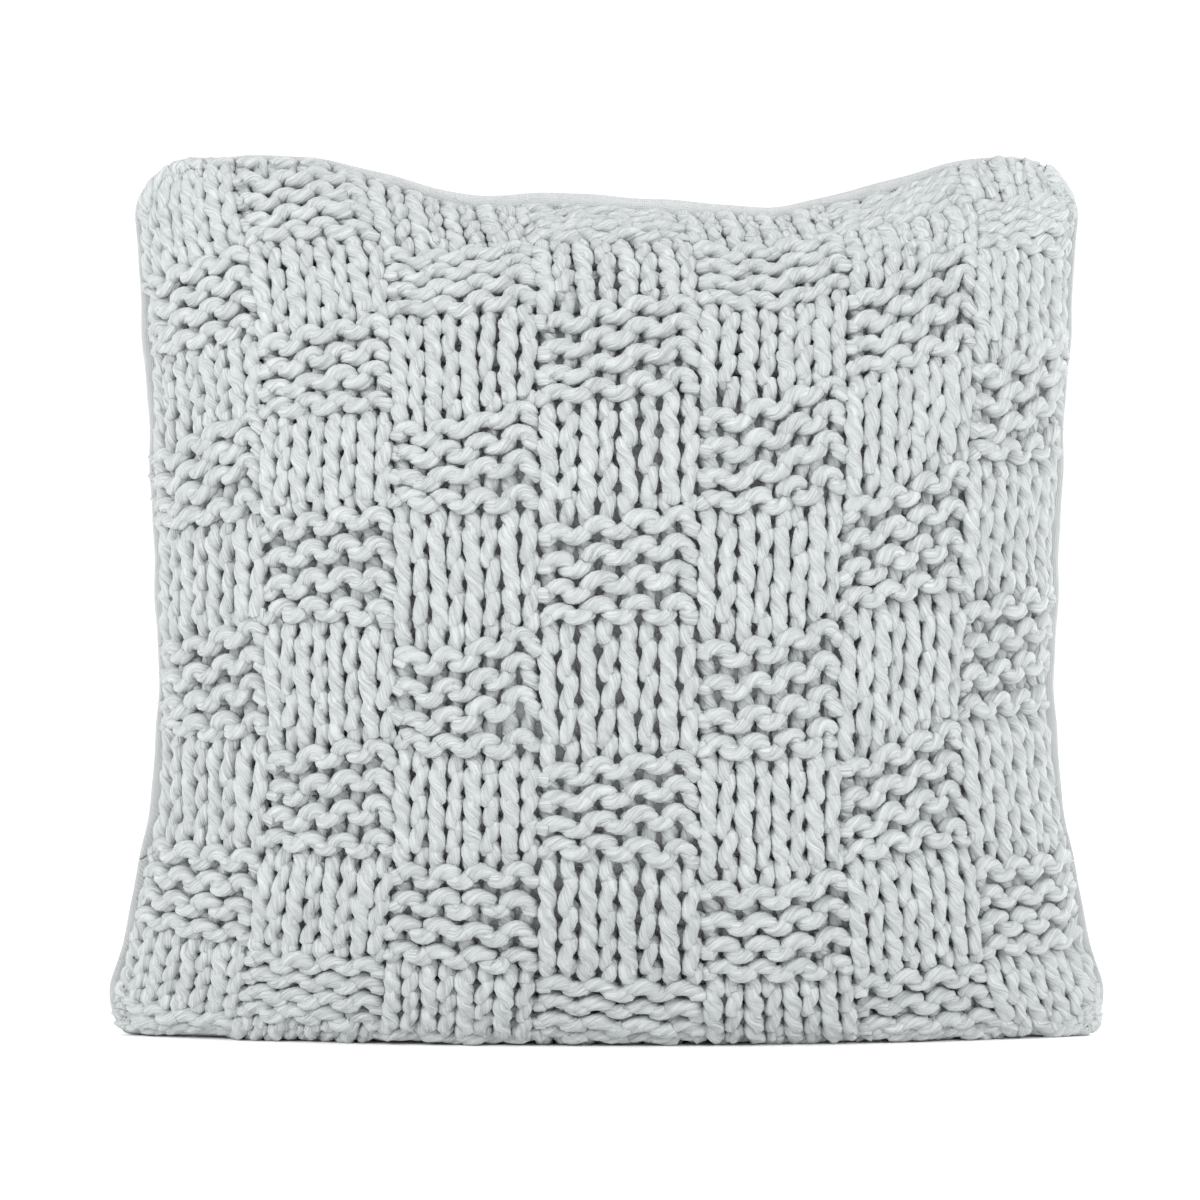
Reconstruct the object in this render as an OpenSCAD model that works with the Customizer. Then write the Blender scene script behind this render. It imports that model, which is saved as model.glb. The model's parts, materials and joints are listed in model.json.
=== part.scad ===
// A square throw pillow: a chunky-knit front, a plain woven back that opens
// along a curved coil zipper, and a polyester-filled insert. It stands on its
// bottom edge, with +Z up and the knit front facing -Y. Units are millimetres.

/* [Cover outline] */
// Width at the waist, the narrowest part
waist_w = 411; // [390:1:430]
// How far each bottom corner flares out past the waist
foot_flare = 31.5; // [20:0.5:36]
// How far each top corner flares out past the waist
ear_flare = 12; // [5:0.5:20]
// Height of the top edge, left of its middle
crown_h = 385; // [375:1:400]
// How far the top edge dips, right of its middle
crown_dip = 5; // [0:0.5:8]
// How far the top corners stand above crown_h
ear_rise = 17; // [5:1:25]
// How far the bottom seam would hang below the floor if it weren't pressed flat
sunk_depth = 28; // [20:1:36]
// Radius of the corners
corner_r = 28; // [15:1:35]

/* [Fullness] */
// Depth of the knit front, from the seam plane to its crown
front_depth = 77; // [70:1:90]
// Depth of the woven back, from the seam plane to its crown
back_depth = 77; // [74:1:80]
// How far the top seam lies behind the seam plane, the knit wrapping over the top
top_lean = 18; // [0:1:22]
// Exponent of the bulge towards the sides and the foot: higher is squarer
bulge_power = 2.5; // [2.2:0.1:2.8]
// Exponent of the bulge towards the top edge
crown_power = 3; // [2.5:0.1:3.4]
// How far the fullest part lies below mid height, as a share of half the height
belly_drop = 0.12; // [0:0.01:0.2]

/* [Cloth] */
// Thickness of the knitted front
knit_t = 11; // [8:0.5:12]
// Thickness of the woven cloth
woven_t = 1; // [0.8:0.1:1.2]
// Width of the overlocked seam allowance inside the cover
allowance_w = 8; // [6:1:8]

/* [Zipper] */
// Height of the zipper's middle line above the floor
zip_z = 80; // [75:1:90]
// Radius of the arc that the zipper follows round the back
zip_r = 560; // [540:5:580]
// Half of the angle that the zipper's coil spans
zip_half = 16.1; // [14.5:0.1:16.5]
// Width of the opening between the two folded edges
zip_gap = 9.2; // [9:0.1:10]
// Width of each zipper tape
tape_w = 13; // [11:1:14]
// Length of the slider
slider_l = 11; // [10:0.5:12]
// Length of the pull tab
pull_l = 20; // [16:1:24]

/* [Hidden] */

grid_n = 24;          // cells along each side of a cloth surface
seam_gap = 0.15;      // half of the gap between the front and the back at the seam plane
floor_blend = 10;     // height over which a surface rounds onto the floor
bulge_edge = 0.62;    // exponent that shapes the bulge next to the side and foot seams
crown_edge = 0.55;    // the same next to the top seam
layer_gap = 0.5;      // between one layer of cloth and the next
back_inset = 3.5;     // the back's outline, inside the knit's

lining_in = knit_t + layer_gap;
allowance_in = lining_in + woven_t + layer_gap;
insert_in = allowance_in + allowance_w + layer_gap;
insert_t = 0.8;
insert_seam_w = 5;
insert_seam_t = 1.6;
insert_gap = insert_seam_t / 2 + 0.1; // the shell's rims stand this far from the seam plane
insert_front_deep = lining_in + woven_t + layer_gap + insert_gap;
insert_back_deep = 8;
fill_gap = 0.6;

knit_colour = [0.84, 0.86, 0.87];
woven_colour = [0.80, 0.82, 0.83];
insert_colour = [0.95, 0.95, 0.94];
metal_colour = [0.66, 0.67, 0.68];
tape_colour = [0.76, 0.78, 0.79];

// ---- the pillow's surface -------------------------------------------------

function lerp(a, b, t) = a + (b - a) * t;
function clamp01(t) = max(0, min(1, t));
function ease(a, b, x) = let (t = clamp01((x - a) / (b - a))) t * t * (3 - 2 * t);

// Half of the width at height v, and the heights of the top and bottom edges at u.
waist_v = -0.1;       // where the waist is
foot_power = 2.2;     // how suddenly the foot flares
ear_power = 1.3;      // how suddenly the ears flare
sag_power = 2.5;      // how suddenly the bottom edge rises to its corners
corner_sunk = 2;      // how far the bottom corners would hang below the floor
function half_w(v) = waist_w / 2 + (v < waist_v
    ? foot_flare * pow((waist_v - v) / (1 + waist_v), foot_power)
    : ear_flare * pow((v - waist_v) / (1 - waist_v), ear_power));
function top_z(u) = crown_h - crown_dip * ease(-0.1, 0.35, u)
    + ear_rise * ease(0.25, 0.65, -u) + (ear_rise + crown_dip) * ease(0.33, 0.85, u);
function bottom_z(u) = -sunk_depth * (1 - pow(abs(u), sag_power)) - corner_sunk;

// Rounds the corners of the square that u and v span.
corner_u = corner_r / (waist_w / 2);
corner_v = corner_r / (crown_h / 2);
function rounded(u, v) =
    let (p = (abs(u) - 1 + corner_u) / corner_u, q = (abs(v) - 1 + corner_v) / corner_v)
    p <= 0 || q <= 0 ? [u, v] : [
        sign(u) * (1 - corner_u + corner_u * p * sqrt(1 - q * q / 2)),
        sign(v) * (1 - corner_v + corner_v * q * sqrt(1 - p * p / 2))
    ];

// A height that runs smoothly onto a floor and never goes under it.
function on_floor(z, level) =
    let (d = z - level)
    d >= floor_blend ? z : d <= -floor_blend ? level
        : level + pow(d + floor_blend, 2) / (4 * floor_blend);

// Where u, v lies in the plane of the seam, for an outline drawn in by inset.
function in_plane(u, v, inset, level) =
    let (c = rounded(u, v))
    [
        c[0] * (half_w(c[1]) - inset),
        on_floor(lerp(bottom_z(c[0]) + inset, top_z(c[0]) - inset, (c[1] + 1) / 2), level)
    ];

function bulge_1(t, power, edge) = pow(max(0, 1 - pow(abs(t), power)), edge);
function bulge(u, v) =
    let (w = v + belly_drop * (1 - v * v), up = w > 0)
    bulge_1(u, bulge_power, bulge_edge)
        * bulge_1(w, up ? crown_power : bulge_power, up ? crown_edge : bulge_edge);

// Depth of the back on the zipper's arc, and on from its end to the side seam.
zip_y = 72;           // the arc's furthest point behind the seam plane
zip_over = 1.3;       // angle by which the tapes run on past the coil
band_full = 16;       // the back lies on the arc this far above and below the zipper,
band_none = 55;       // and has its own full shape from this far on
zip_centre_y = zip_y - zip_r;
arc_end_x = zip_r * sin(zip_half + zip_over + 0.2);
arc_end_slope = -arc_end_x / sqrt(zip_r * zip_r - arc_end_x * arc_end_x);
function arc_y(x) = zip_centre_y + sqrt(zip_r * zip_r - x * x);
function band_y(x, edge_x) =
    abs(x) <= arc_end_x ? arc_y(x)
        : let (s = clamp01((abs(x) - arc_end_x) / (edge_x - arc_end_x)))
          (arc_y(arc_end_x) + arc_end_slope * (abs(x) - arc_end_x)) * pow(1 - pow(s, 3), 0.6);
function band_share(z) = 1 - ease(band_full, band_none, abs(z - zip_z));

// A point of the front or back surface.
function lean(v) = top_lean * ease(0.4, 1, v);
function front_point(u, v, inset, deep, level) =
    let (p = in_plane(u, v, inset, level))
    [p[0], lean(v) - seam_gap - (front_depth - deep) * bulge(u, v), p[1]];
function back_point(u, v, inset, deep, level) =
    let (p = in_plane(u, v, inset, level))
    [p[0], lean(v) + seam_gap + (back_depth - deep) * bulge(u, v), p[1]];
// The woven back follows the zipper's arc along its band.
function panel_point(u, v, inset, deep, level) =
    let (p = back_point(u, v, inset, deep, level),
         edge_x = half_w(rounded(u, v)[1]) - inset,
         band = max(seam_gap, band_y(p[0], edge_x) - deep))
    [p[0], lerp(p[1], band, band_share(p[2])), p[2]];

// ---- closed shells from two grids of points -------------------------------

// The faces of a grid, from its middle cell on.
function grid_faces(rows, cols, start, flip) = [
    for (k = [0:rows - 2], m = [0:cols - 2], half = [0, 1])
        let (j = (k + floor(rows / 2)) % (rows - 1), i = (m + floor(cols / 2)) % (cols - 1),
             a = start + j * cols + i, b = a + 1, c = a + cols, d = c + 1,
             t = half == 0 ? [a, b, d] : [a, d, c])
        flip ? [t[2], t[1], t[0]] : t
];
function rim_faces(ring, shift, flip) = [
    for (k = [0:len(ring) - 1], half = [0, 1])
        let (a = ring[k], b = ring[(k + 1) % len(ring)],
             t = half == 0 ? [a, b, b + shift] : [a, b + shift, a + shift])
        flip ? [t[2], t[1], t[0]] : t
];
function grid_ring(rows, cols) = concat(
    [for (i = [0:cols - 2]) i],
    [for (j = [0:rows - 2]) j * cols + cols - 1],
    [for (i = [cols - 1:-1:1]) (rows - 1) * cols + i],
    [for (j = [rows - 1:-1:1]) j * cols]
);

// A solid between an outer and an inner grid of rows by cols points.
module shell(outer, inner, rows, cols, flip = false) {
    polyhedron(
        points = concat(outer, inner),
        faces = concat(
            grid_faces(rows, cols, 0, !flip),
            grid_faces(rows, cols, rows * cols, flip),
            rim_faces(grid_ring(rows, cols), rows * cols, flip)
        ),
        convexity = 6
    );
}

// Stations that crowd towards both ends, where the surface bends most.
function stations(n) = [for (i = [0:n]) sin(90 * (2 * i / n - 1))];
full = stations(grid_n);

// ---- cover ----------------------------------------------------------------

module front_layer(inset, thick, level) {
    outer = [for (v = full, u = full) front_point(u, v, inset, inset, level)];
    inner = [for (v = full, u = full) front_point(u, v, inset + thick, inset + thick, level + thick)];
    shell(outer, inner, grid_n + 1, grid_n + 1);
}

module front_knit_panel() {
    color(knit_colour) front_layer(0, knit_t, 0);
}

module front_lining() {
    color(woven_colour) front_layer(lining_in, woven_t, lining_in);
}

// The v at which the back, or the surface a depth inside it, reaches height z, by halving.
function v_at(u, z, depth, low = -1, high = 1, steps = 24) =
    steps == 0 ? (low + high) / 2
        : let (mid = (low + high) / 2)
          in_plane(u, mid, back_inset + depth, depth)[1] < z
              ? v_at(u, z, depth, mid, high, steps - 1) : v_at(u, z, depth, low, mid, steps - 1);

// The same, with the panel's own outer edge past the floor and past the crown.
function edge_v(u, z, depth) = z <= 0 ? -1 : z >= crown_h ? 1 : v_at(u, z, depth);

// Points of the back between two heights, a depth inside its face.
function panel_grid(z_from, z_to, depth, n) =
    let (low = [for (u = full) edge_v(u, z_from, depth)], high = [for (u = full) edge_v(u, z_to, depth)])
    [for (j = [0:n], i = [0:grid_n])
        panel_point(full[i], lerp(low[i], high[i], j / n), back_inset + depth, depth, depth)];

// A woven panel between two heights, over n rows of cells.
module woven_panel(z_from, z_to, n) {
    shell(panel_grid(z_from, z_to, 0, n), panel_grid(z_from, z_to, woven_t, n), n + 1, grid_n + 1, true);
}

module back_upper_panel() {
    color(woven_colour) woven_panel(zip_z + zip_gap / 2, crown_h, 18);
}

module back_lower_panel() {
    color(woven_colour) woven_panel(0, zip_z - zip_gap / 2, 12);
}

// ---- overlocked seam allowances, along the seam ---------------------------

allowance_t = 2.6;
corner_cut = 0.9; // u or v at which one allowance ends and the next begins

// A point on the seam's own surface, off to one side of it.
function seam_point(u, v, inset, off) =
    let (p = in_plane(u, v, inset, inset))
    [p[0], lean(v) + off, p[1]];

// A flat strip along one edge; place gives the u and v of a share of the edge.
module allowance(place, flip) {
    steps = [for (i = [0:20]) place(lerp(-corner_cut, corner_cut, i / 20))];
    insets = [allowance_in, allowance_in + allowance_w];
    front = [for (k = insets, w = steps) seam_point(w[0], w[1], k, -allowance_t / 2)];
    back = [for (p = front) p + [0, allowance_t, 0]];
    shell(front, back, 2, 21, flip);
}

module seam_allowance_top() {
    color(woven_colour) allowance(function (t) [t, 1], true);
}

module seam_allowance_bottom() {
    color(woven_colour) allowance(function (t) [t, -1], false);
}

module seam_allowance_left() {
    color(woven_colour) allowance(function (t) [-1, t], true);
}

module seam_allowance_right() {
    color(woven_colour) allowance(function (t) [1, t], false);
}

// ---- zipper ---------------------------------------------------------------

tape_t = 0.5;
tape_out = -woven_t - 0.15;       // outer face of the tape, from the arc
coil_from = 0.5;                  // each half of the coil, from the middle line
coil_to = 2.7;
coil_out = 0.45;
stop_from = 0.45;
stop_to = 3.0;
stop_out = 0.8;
stop_l = 2.4;
plate_t = 1.2;
plate_out = coil_out + 0.15;      // inner face of the slider's outer plate
plate_in = tape_out - tape_t - 0.15;
slider_w = 8.4;
flange_w = 0.9;
neck_t = 0.6;
neck_l = 2.6;
lug_t = 1.8;
lug_r = 1.7;
pin_r = 0.7;
pin_play = 0.08;
pin_out = plate_out + plate_t + 1.9; // the pull's pivot, from the arc
pull_t = 1.1;
pull_w = 5.4;
pull_tilt = 5;

function degrees_of(length) = length / zip_r * 180 / PI;
slider_at = zip_half - degrees_of(9.6); // where the closed slider rests, along the arc

// Sweeps a profile, drawn as distance out from the arc against height, along the arc.
module on_arc(from, to) {
    translate([0, zip_centre_y, 0]) rotate([0, 0, 90 - to])
        rotate_extrude(angle = to - from, $fn = 360) translate([zip_r, zip_z]) children();
}

// Places a piece on the arc at an angle: its x runs along the arc and its y points out.
module at_arc(angle) {
    translate([0, zip_centre_y, 0]) rotate([0, 0, -angle]) translate([0, zip_r, zip_z]) children();
}

module span(out_from, out_to, z_from, z_to) {
    translate([out_from, z_from]) square([out_to - out_from, z_to - z_from]);
}

module tape(side) {
    z_near = coil_from + 0.1;
    mirror([0, side < 0 ? 1 : 0]) span(tape_out - tape_t, tape_out, z_near, tape_w);
}

module zipper_tape_upper() {
    color(tape_colour) on_arc(-zip_half - zip_over, zip_half + zip_over) tape(1);
}

module zipper_tape_lower() {
    color(tape_colour) on_arc(-zip_half - zip_over, zip_half + zip_over) tape(-1);
}

module coil(side) {
    r = 0.5;
    mirror([0, side < 0 ? 1 : 0]) {
        span(tape_out, coil_out - r, coil_from, coil_to);
        span(tape_out, coil_out, coil_from + r, coil_to - r);
        translate([coil_out - r, coil_from + r]) circle(r, $fn = 32);
        translate([coil_out - r, coil_to - r]) circle(r, $fn = 32);
    }
}

coil_first = -zip_half;
coil_last = zip_half - degrees_of(stop_l);

module zipper_coil_upper() {
    color(tape_colour) on_arc(coil_first + degrees_of(2 * stop_l), coil_last) coil(1);
}

module zipper_coil_lower() {
    color(tape_colour) on_arc(coil_first + degrees_of(2 * stop_l), coil_last) coil(-1);
}

module zipper_top_stops() {
    color(metal_colour) for (side = [-1, 1])
        on_arc(coil_last + 0.02, zip_half) mirror([0, side < 0 ? 1 : 0])
            span(tape_out, stop_out, stop_from, stop_to);
}

module zipper_bottom_stop() {
    color(metal_colour) on_arc(coil_first, coil_first + degrees_of(2 * stop_l) - 0.02)
        span(tape_out, stop_out, -stop_to, stop_to);
}

// A plate with one round end, lying flat on the arc's tangent, from one distance out to another.
nose_l = 3; // length of the slider's round end
module slider_plate(out_from, thick, narrow) {
    translate([0, out_from + thick, 0]) rotate([90, 0, 0]) linear_extrude(thick) {
        translate([-slider_l / 2, -slider_w / 2 + narrow])
            square([slider_l - nose_l, slider_w - 2 * narrow]);
        translate([slider_l / 2 - nose_l, 0]) intersection() {
            circle(slider_w / 2, $fn = 64);
            translate([-1, -slider_w / 2]) square([nose_l + 1, slider_w]);
        }
    }
}

module slider_body() {
    slider_plate(plate_out, plate_t, 0);
    slider_plate(plate_in - plate_t, plate_t, 0.5);
    for (side = [-1, 1])
        translate([-slider_l / 2, tape_out + 0.15, side > 0 ? slider_w / 2 - flange_w : -slider_w / 2])
            cube([slider_l - nose_l, plate_out - tape_out, flange_w]);
    translate([slider_l / 2 - neck_l - 0.6, plate_in - 0.1, -neck_t / 2])
        cube([neck_l, plate_out - plate_in + 0.2, neck_t]);
    lug();
}

// The lug that carries the pull tab's pin.
module lug() {
    difference() {
        union() {
            translate([0, pin_out, 0]) cylinder(h = lug_t, r = lug_r, center = true, $fn = 48);
            translate([-lug_r, plate_out + plate_t - 0.2, -lug_t / 2])
                cube([2 * lug_r, pin_out - plate_out - plate_t + 0.2, lug_t]);
        }
        translate([0, pin_out, 0])
            cylinder(h = lug_t + 1, r = pin_r + pin_play, center = true, $fn = 48);
    }
}

module zipper_slider() {
    color(metal_colour) at_arc(slider_at) slider_body();
}

// The pull tab: two arms and a round pin through the lug, and a tapering grip.
module pull_tab() {
    arm_t = 1;
    arm_from = lug_t / 2 + 0.25;
    arm_l = 3.4;
    cylinder(h = 2 * (arm_from + arm_t), r = pin_r, center = true, $fn = 48);
    for (side = [-1, 1])
        translate([0, 0, side * (arm_from + arm_t / 2)]) {
            cylinder(h = arm_t, r = pull_t / 2 + 0.35, center = true, $fn = 48);
            translate([-arm_l / 2, 0, 0]) cube([arm_l, pull_t, arm_t], center = true);
        }
    rotate([90, 0, 0]) linear_extrude(pull_t, center = true) difference() {
        union() {
            translate([-arm_l, 0]) circle(arm_from + arm_t, $fn = 48);
            translate([-pull_l + pull_w / 2, 0]) circle(pull_w / 2, $fn = 48);
            polygon([
                [-arm_l, arm_from + arm_t], [-pull_l + pull_w / 2, pull_w / 2],
                [-pull_l + pull_w / 2, -pull_w / 2], [-arm_l, -arm_from - arm_t]
            ]);
        }
        translate([-lug_r - 0.6, -arm_from]) square([2 * lug_r + 4, 2 * arm_from]);
    }
}

module zipper_pull() {
    color(metal_colour) at_arc(slider_at) translate([0, pin_out, 0]) rotate([0, 0, pull_tilt]) pull_tab();
}

// Folded cloth that closes the opening from the end of the coil to the side seam.
tab_play = 0.5; // between a tab and the folded edges above and below it
tab_t = 0.8;
module end_tab(side) {
    near_x = zip_r * sin(zip_half + 0.25);
    far_x = half_w(rounded(1, v_at(1, zip_z, 0))[1]) - back_inset - woven_t;
    n = 8;
    steps = [for (i = [0:n]) lerp(near_x, far_x - 1.2, sin(90 * i / n))];
    heights = [zip_z - zip_gap / 2 + tab_play, zip_z + zip_gap / 2 - tab_play];
    outer = [for (z = heights, x = steps) [side * x, band_y(x, far_x + woven_t) - 0.2, z]];
    inner = [for (p = outer) [p[0], p[1] - tab_t, p[2]]];
    shell(outer, inner, 2, n + 1, side > 0);
}

module zipper_end_tab_left() {
    color(woven_colour) end_tab(-1);
}

module zipper_end_tab_right() {
    color(woven_colour) end_tab(1);
}

stitch_r = 0.3;
stitch_z = zip_gap / 2 + 2.5;

module stitching(side) {
    on_arc(-zip_half - zip_over, zip_half + zip_over)
        translate([stitch_r + 0.05, side * stitch_z]) circle(stitch_r, $fn = 24);
}

module zipper_stitching_upper() {
    color(tape_colour) stitching(1);
}

module zipper_stitching_lower() {
    color(tape_colour) stitching(-1);
}

// A blank satin label, sewn by its top edge below the zipper.
label_w = 26;
label_h = 38;
label_t = 0.3;
label_at = -12;

module care_label() {
    color([0.96, 0.96, 0.95])
        on_arc(label_at - degrees_of(label_w) / 2, label_at + degrees_of(label_w) / 2)
            translate([0.8, -stitch_z - 1.5 - label_h]) square([label_t, label_h]);
}

// ---- insert ---------------------------------------------------------------

module insert_front() {
    k = insert_in;
    outer = [for (v = full, u = full)
        front_point(u, v, k, insert_front_deep, k) - [0, insert_gap, 0]];
    inner = [for (v = full, u = full)
        front_point(u, v, k + insert_t, insert_front_deep + insert_t, k + insert_t) - [0, insert_gap, 0]];
    color(insert_colour) shell(outer, inner, grid_n + 1, grid_n + 1);
}

module insert_back() {
    k = insert_in;
    outer = [for (v = full, u = full)
        back_point(u, v, k, insert_back_deep, k) + [0, insert_gap, 0]];
    inner = [for (v = full, u = full)
        back_point(u, v, k + insert_t, insert_back_deep + insert_t, k + insert_t) + [0, insert_gap, 0]];
    color(insert_colour) shell(outer, inner, grid_n + 1, grid_n + 1, true);
}

// The u and v of each point round the edge.
edge_walk = concat(
    [for (i = [0:grid_n - 1]) [full[i], -1]],
    [for (i = [0:grid_n - 1]) [1, full[i]]],
    [for (i = [grid_n:-1:1]) [full[i], 1]],
    [for (i = [grid_n:-1:1]) [-1, full[i]]]
);

// A closed band of four-cornered sections, joined each to the next.
module insert_seam() {
    k = insert_in;
    t = insert_seam_t / 2;
    n = len(edge_walk);
    corners = [[k, -t], [k, t], [k + insert_seam_w, t], [k + insert_seam_w, -t]];
    color(insert_colour) polyhedron(
        points = [for (w = edge_walk, c = corners) seam_point(w[0], w[1], c[0], c[1])],
        faces = [for (i = [0:n - 1], j = [0:3], half = [0, 1])
            let (a = 4 * i + j, b = 4 * i + (j + 1) % 4, c = (a + 4) % (4 * n), d = (b + 4) % (4 * n))
            half == 0 ? [a, c, d] : [a, d, b]],
        convexity = 6
    );
}

// The filling, a front and a back surface that meet at the seam plane.
module fiberfill() {
    k = insert_in + insert_seam_w + fill_gap;
    deep = insert_t + fill_gap;
    outer = [for (v = full, u = full) front_point(u, v, k, insert_front_deep + deep, k)];
    inner = [for (v = full, u = full) back_point(u, v, k, insert_back_deep + deep, k)];
    color([0.98, 0.98, 0.97]) shell(outer, inner, grid_n + 1, grid_n + 1);
}

front_knit_panel();
front_lining();
back_upper_panel();
back_lower_panel();
seam_allowance_top();
seam_allowance_bottom();
seam_allowance_left();
seam_allowance_right();
zipper_tape_upper();
zipper_tape_lower();
zipper_coil_upper();
zipper_coil_lower();
zipper_top_stops();
zipper_bottom_stop();
zipper_slider();
zipper_pull();
zipper_end_tab_left();
zipper_end_tab_right();
zipper_stitching_upper();
zipper_stitching_lower();
care_label();
insert_front();
insert_back();
insert_seam();
fiberfill();
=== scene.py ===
import json
import math

import bmesh
import bpy
import mathutils
import numpy as np
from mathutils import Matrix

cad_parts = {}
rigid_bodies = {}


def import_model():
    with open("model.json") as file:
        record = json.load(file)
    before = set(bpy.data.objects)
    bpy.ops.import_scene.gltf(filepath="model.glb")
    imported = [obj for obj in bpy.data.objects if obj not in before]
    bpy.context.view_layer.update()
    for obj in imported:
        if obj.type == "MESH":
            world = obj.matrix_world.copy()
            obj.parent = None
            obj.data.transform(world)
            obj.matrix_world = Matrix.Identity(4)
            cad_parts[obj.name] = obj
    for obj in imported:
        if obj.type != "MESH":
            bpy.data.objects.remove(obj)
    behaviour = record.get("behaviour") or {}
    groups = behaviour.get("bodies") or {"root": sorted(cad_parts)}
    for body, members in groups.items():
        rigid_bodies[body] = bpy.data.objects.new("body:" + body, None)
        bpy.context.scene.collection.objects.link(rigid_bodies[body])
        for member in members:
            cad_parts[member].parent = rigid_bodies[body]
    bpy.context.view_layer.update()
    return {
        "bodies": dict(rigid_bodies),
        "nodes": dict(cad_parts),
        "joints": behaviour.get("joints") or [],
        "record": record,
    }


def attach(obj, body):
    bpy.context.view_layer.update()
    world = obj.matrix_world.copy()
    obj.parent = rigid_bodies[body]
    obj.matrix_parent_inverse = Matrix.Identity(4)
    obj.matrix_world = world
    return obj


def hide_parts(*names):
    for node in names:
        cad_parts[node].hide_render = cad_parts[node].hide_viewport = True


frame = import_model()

MM = 0.001

# ---- the pillow's surface, in millimetres, by the CAD's rules but a little uneven ----

WAIST_W = 411
FOOT_FLARE = 31.5
EAR_FLARE = 12
WAIST_V = -0.1
CROWN_H = 385
CROWN_DIP = 5
EAR_RISE = 17
SUNK_DEPTH = 28
CORNER_R = 28
FRONT_DEPTH = 77
BACK_DEPTH = 77
TOP_LEAN = 18
BULGE_POWER, BULGE_EDGE = 2.5, 0.62
CROWN_POWER, CROWN_EDGE = 3.0, 0.55
BELLY_DROP = 0.12
FLOOR_BLEND = 10
SEAM_GAP = 0.15
FLOOR_CLEAR = 0.02
UNEVEN = 0.45


def lerp(a, b, t):
    return a + (b - a) * t


def ease(a, b, x):
    """0 at a, 1 at b, and a smooth step between them."""
    t = np.clip((x - a) / (b - a), 0, 1)
    return t * t * (3 - 2 * t)


def uneven(x, seed):
    """A smooth wave that makes the outline waver as sewn and stuffed cloth does."""
    waves = np.sin(9 * x + seed) + np.sin(21 * x + 2 * seed) + 0.4 * np.sin(43 * x + seed)
    return UNEVEN * (waves - 1)


def half_w(v):
    """Half the width at height v, which runs from -1 at the bottom to 1 at the top."""
    foot = FOOT_FLARE * np.maximum(0, (WAIST_V - v) / (1 + WAIST_V)) ** 2.2
    ear = EAR_FLARE * np.maximum(0, (v - WAIST_V) / (1 - WAIST_V)) ** 1.3
    return WAIST_W / 2 + foot + ear + uneven(v, 1)


def top_z(u):
    """The height of the top edge at u, which runs from -1 at the left to 1 at the right."""
    left = EAR_RISE * ease(0.25, 0.65, -u)
    right = (EAR_RISE + CROWN_DIP) * ease(0.33, 0.85, u)
    return CROWN_H - CROWN_DIP * ease(-0.1, 0.35, u) + left + right + uneven(u, 2)


def bottom_z(u):
    return -SUNK_DEPTH * (1 - np.abs(u) ** 2.5) - 2


CORNER_U = CORNER_R / (WAIST_W / 2)
CORNER_V = CORNER_R / (CROWN_H / 2)


def rounded(u, v):
    """Rounds the corners of the square that u and v span."""
    p = (np.abs(u) - 1 + CORNER_U) / CORNER_U
    q = (np.abs(v) - 1 + CORNER_V) / CORNER_V
    near = (p > 0) & (q > 0)
    round_u = np.sign(u) * (1 - CORNER_U + CORNER_U * p * np.sqrt(np.maximum(0, 1 - q * q / 2)))
    round_v = np.sign(v) * (1 - CORNER_V + CORNER_V * q * np.sqrt(np.maximum(0, 1 - p * p / 2)))
    return np.where(near, round_u, u), np.where(near, round_v, v)


def on_floor(z, level):
    """Keeps heights above level, as the pillow's bottom is pressed flat on the floor."""
    d = z - level
    blend = level + (d + FLOOR_BLEND) ** 2 / (4 * FLOOR_BLEND)
    return np.where(d >= FLOOR_BLEND, z, np.where(d <= -FLOOR_BLEND, level, blend))


def bulge_1(t, power, edge):
    return np.maximum(0, 1 - np.abs(t) ** power) ** edge


def bulge(u, v):
    """How far the filling pushes the cover out, from 0 on its edge to 1 in its middle."""
    w = v + BELLY_DROP * (1 - v * v)
    up = bulge_1(w, CROWN_POWER, CROWN_EDGE)
    down = bulge_1(w, BULGE_POWER, BULGE_EDGE)
    return bulge_1(u, BULGE_POWER, BULGE_EDGE) * np.where(w > 0, up, down)


def lean(v):
    """How far back the seam leans towards the top."""
    return TOP_LEAN * ease(0.4, 1, v)


def in_plane(u, v, inset=0.0, level=0.0):
    """x and z as seen from the front, drawn in by inset and kept above level."""
    a, b = rounded(u, v)
    x = a * (half_w(b) - inset)
    return x, on_floor(lerp(bottom_z(a) + inset, top_z(a) - inset, (b + 1) / 2), level)


def surface(u, v, side, inset=0.0, deep=0.0, level=0.0):
    """Points of the front (side -1) or back (side 1), drawn in by inset and deep."""
    x, z = in_plane(u, v, inset, level)
    depth = (FRONT_DEPTH if side < 0 else BACK_DEPTH) - deep
    return np.stack([x, lean(v) + side * (SEAM_GAP + depth * bulge(u, v)), z], -1)


# ---- small tools ----


def unit(a):
    return a / np.maximum(np.linalg.norm(a, axis=-1, keepdims=True), 1e-9)


def between(p, t):
    """The smooth curve through four values, t of the way from the second to the third."""
    cubic = 3 * (p[1] - p[2]) + p[3] - p[0]
    square = 2 * p[0] - 5 * p[1] + 4 * p[2] - p[3] + t * cubic
    return p[1] + t / 2 * (p[2] - p[0] + t * square)


def spline(values, x):
    """A smooth curve through values at 0, 1, 2, ..., read at x."""
    values = np.asarray(values, float)
    padded = np.concatenate([2 * values[:1] - values[1:2], values, 2 * values[-1:] - values[-2:-1]])
    i = np.clip(np.floor(x).astype(int), 0, len(values) - 2)
    t = x - i
    return between([padded[i + k] for k in range(4)], t)


def wander(seed, n, spacing, amount):
    """A smooth random walk of n values that changes over about spacing values."""
    rng = np.random.default_rng(seed)
    knots = rng.normal(0, amount, int(n / spacing) + 4)
    return spline(knots, np.arange(n) / spacing)


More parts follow.
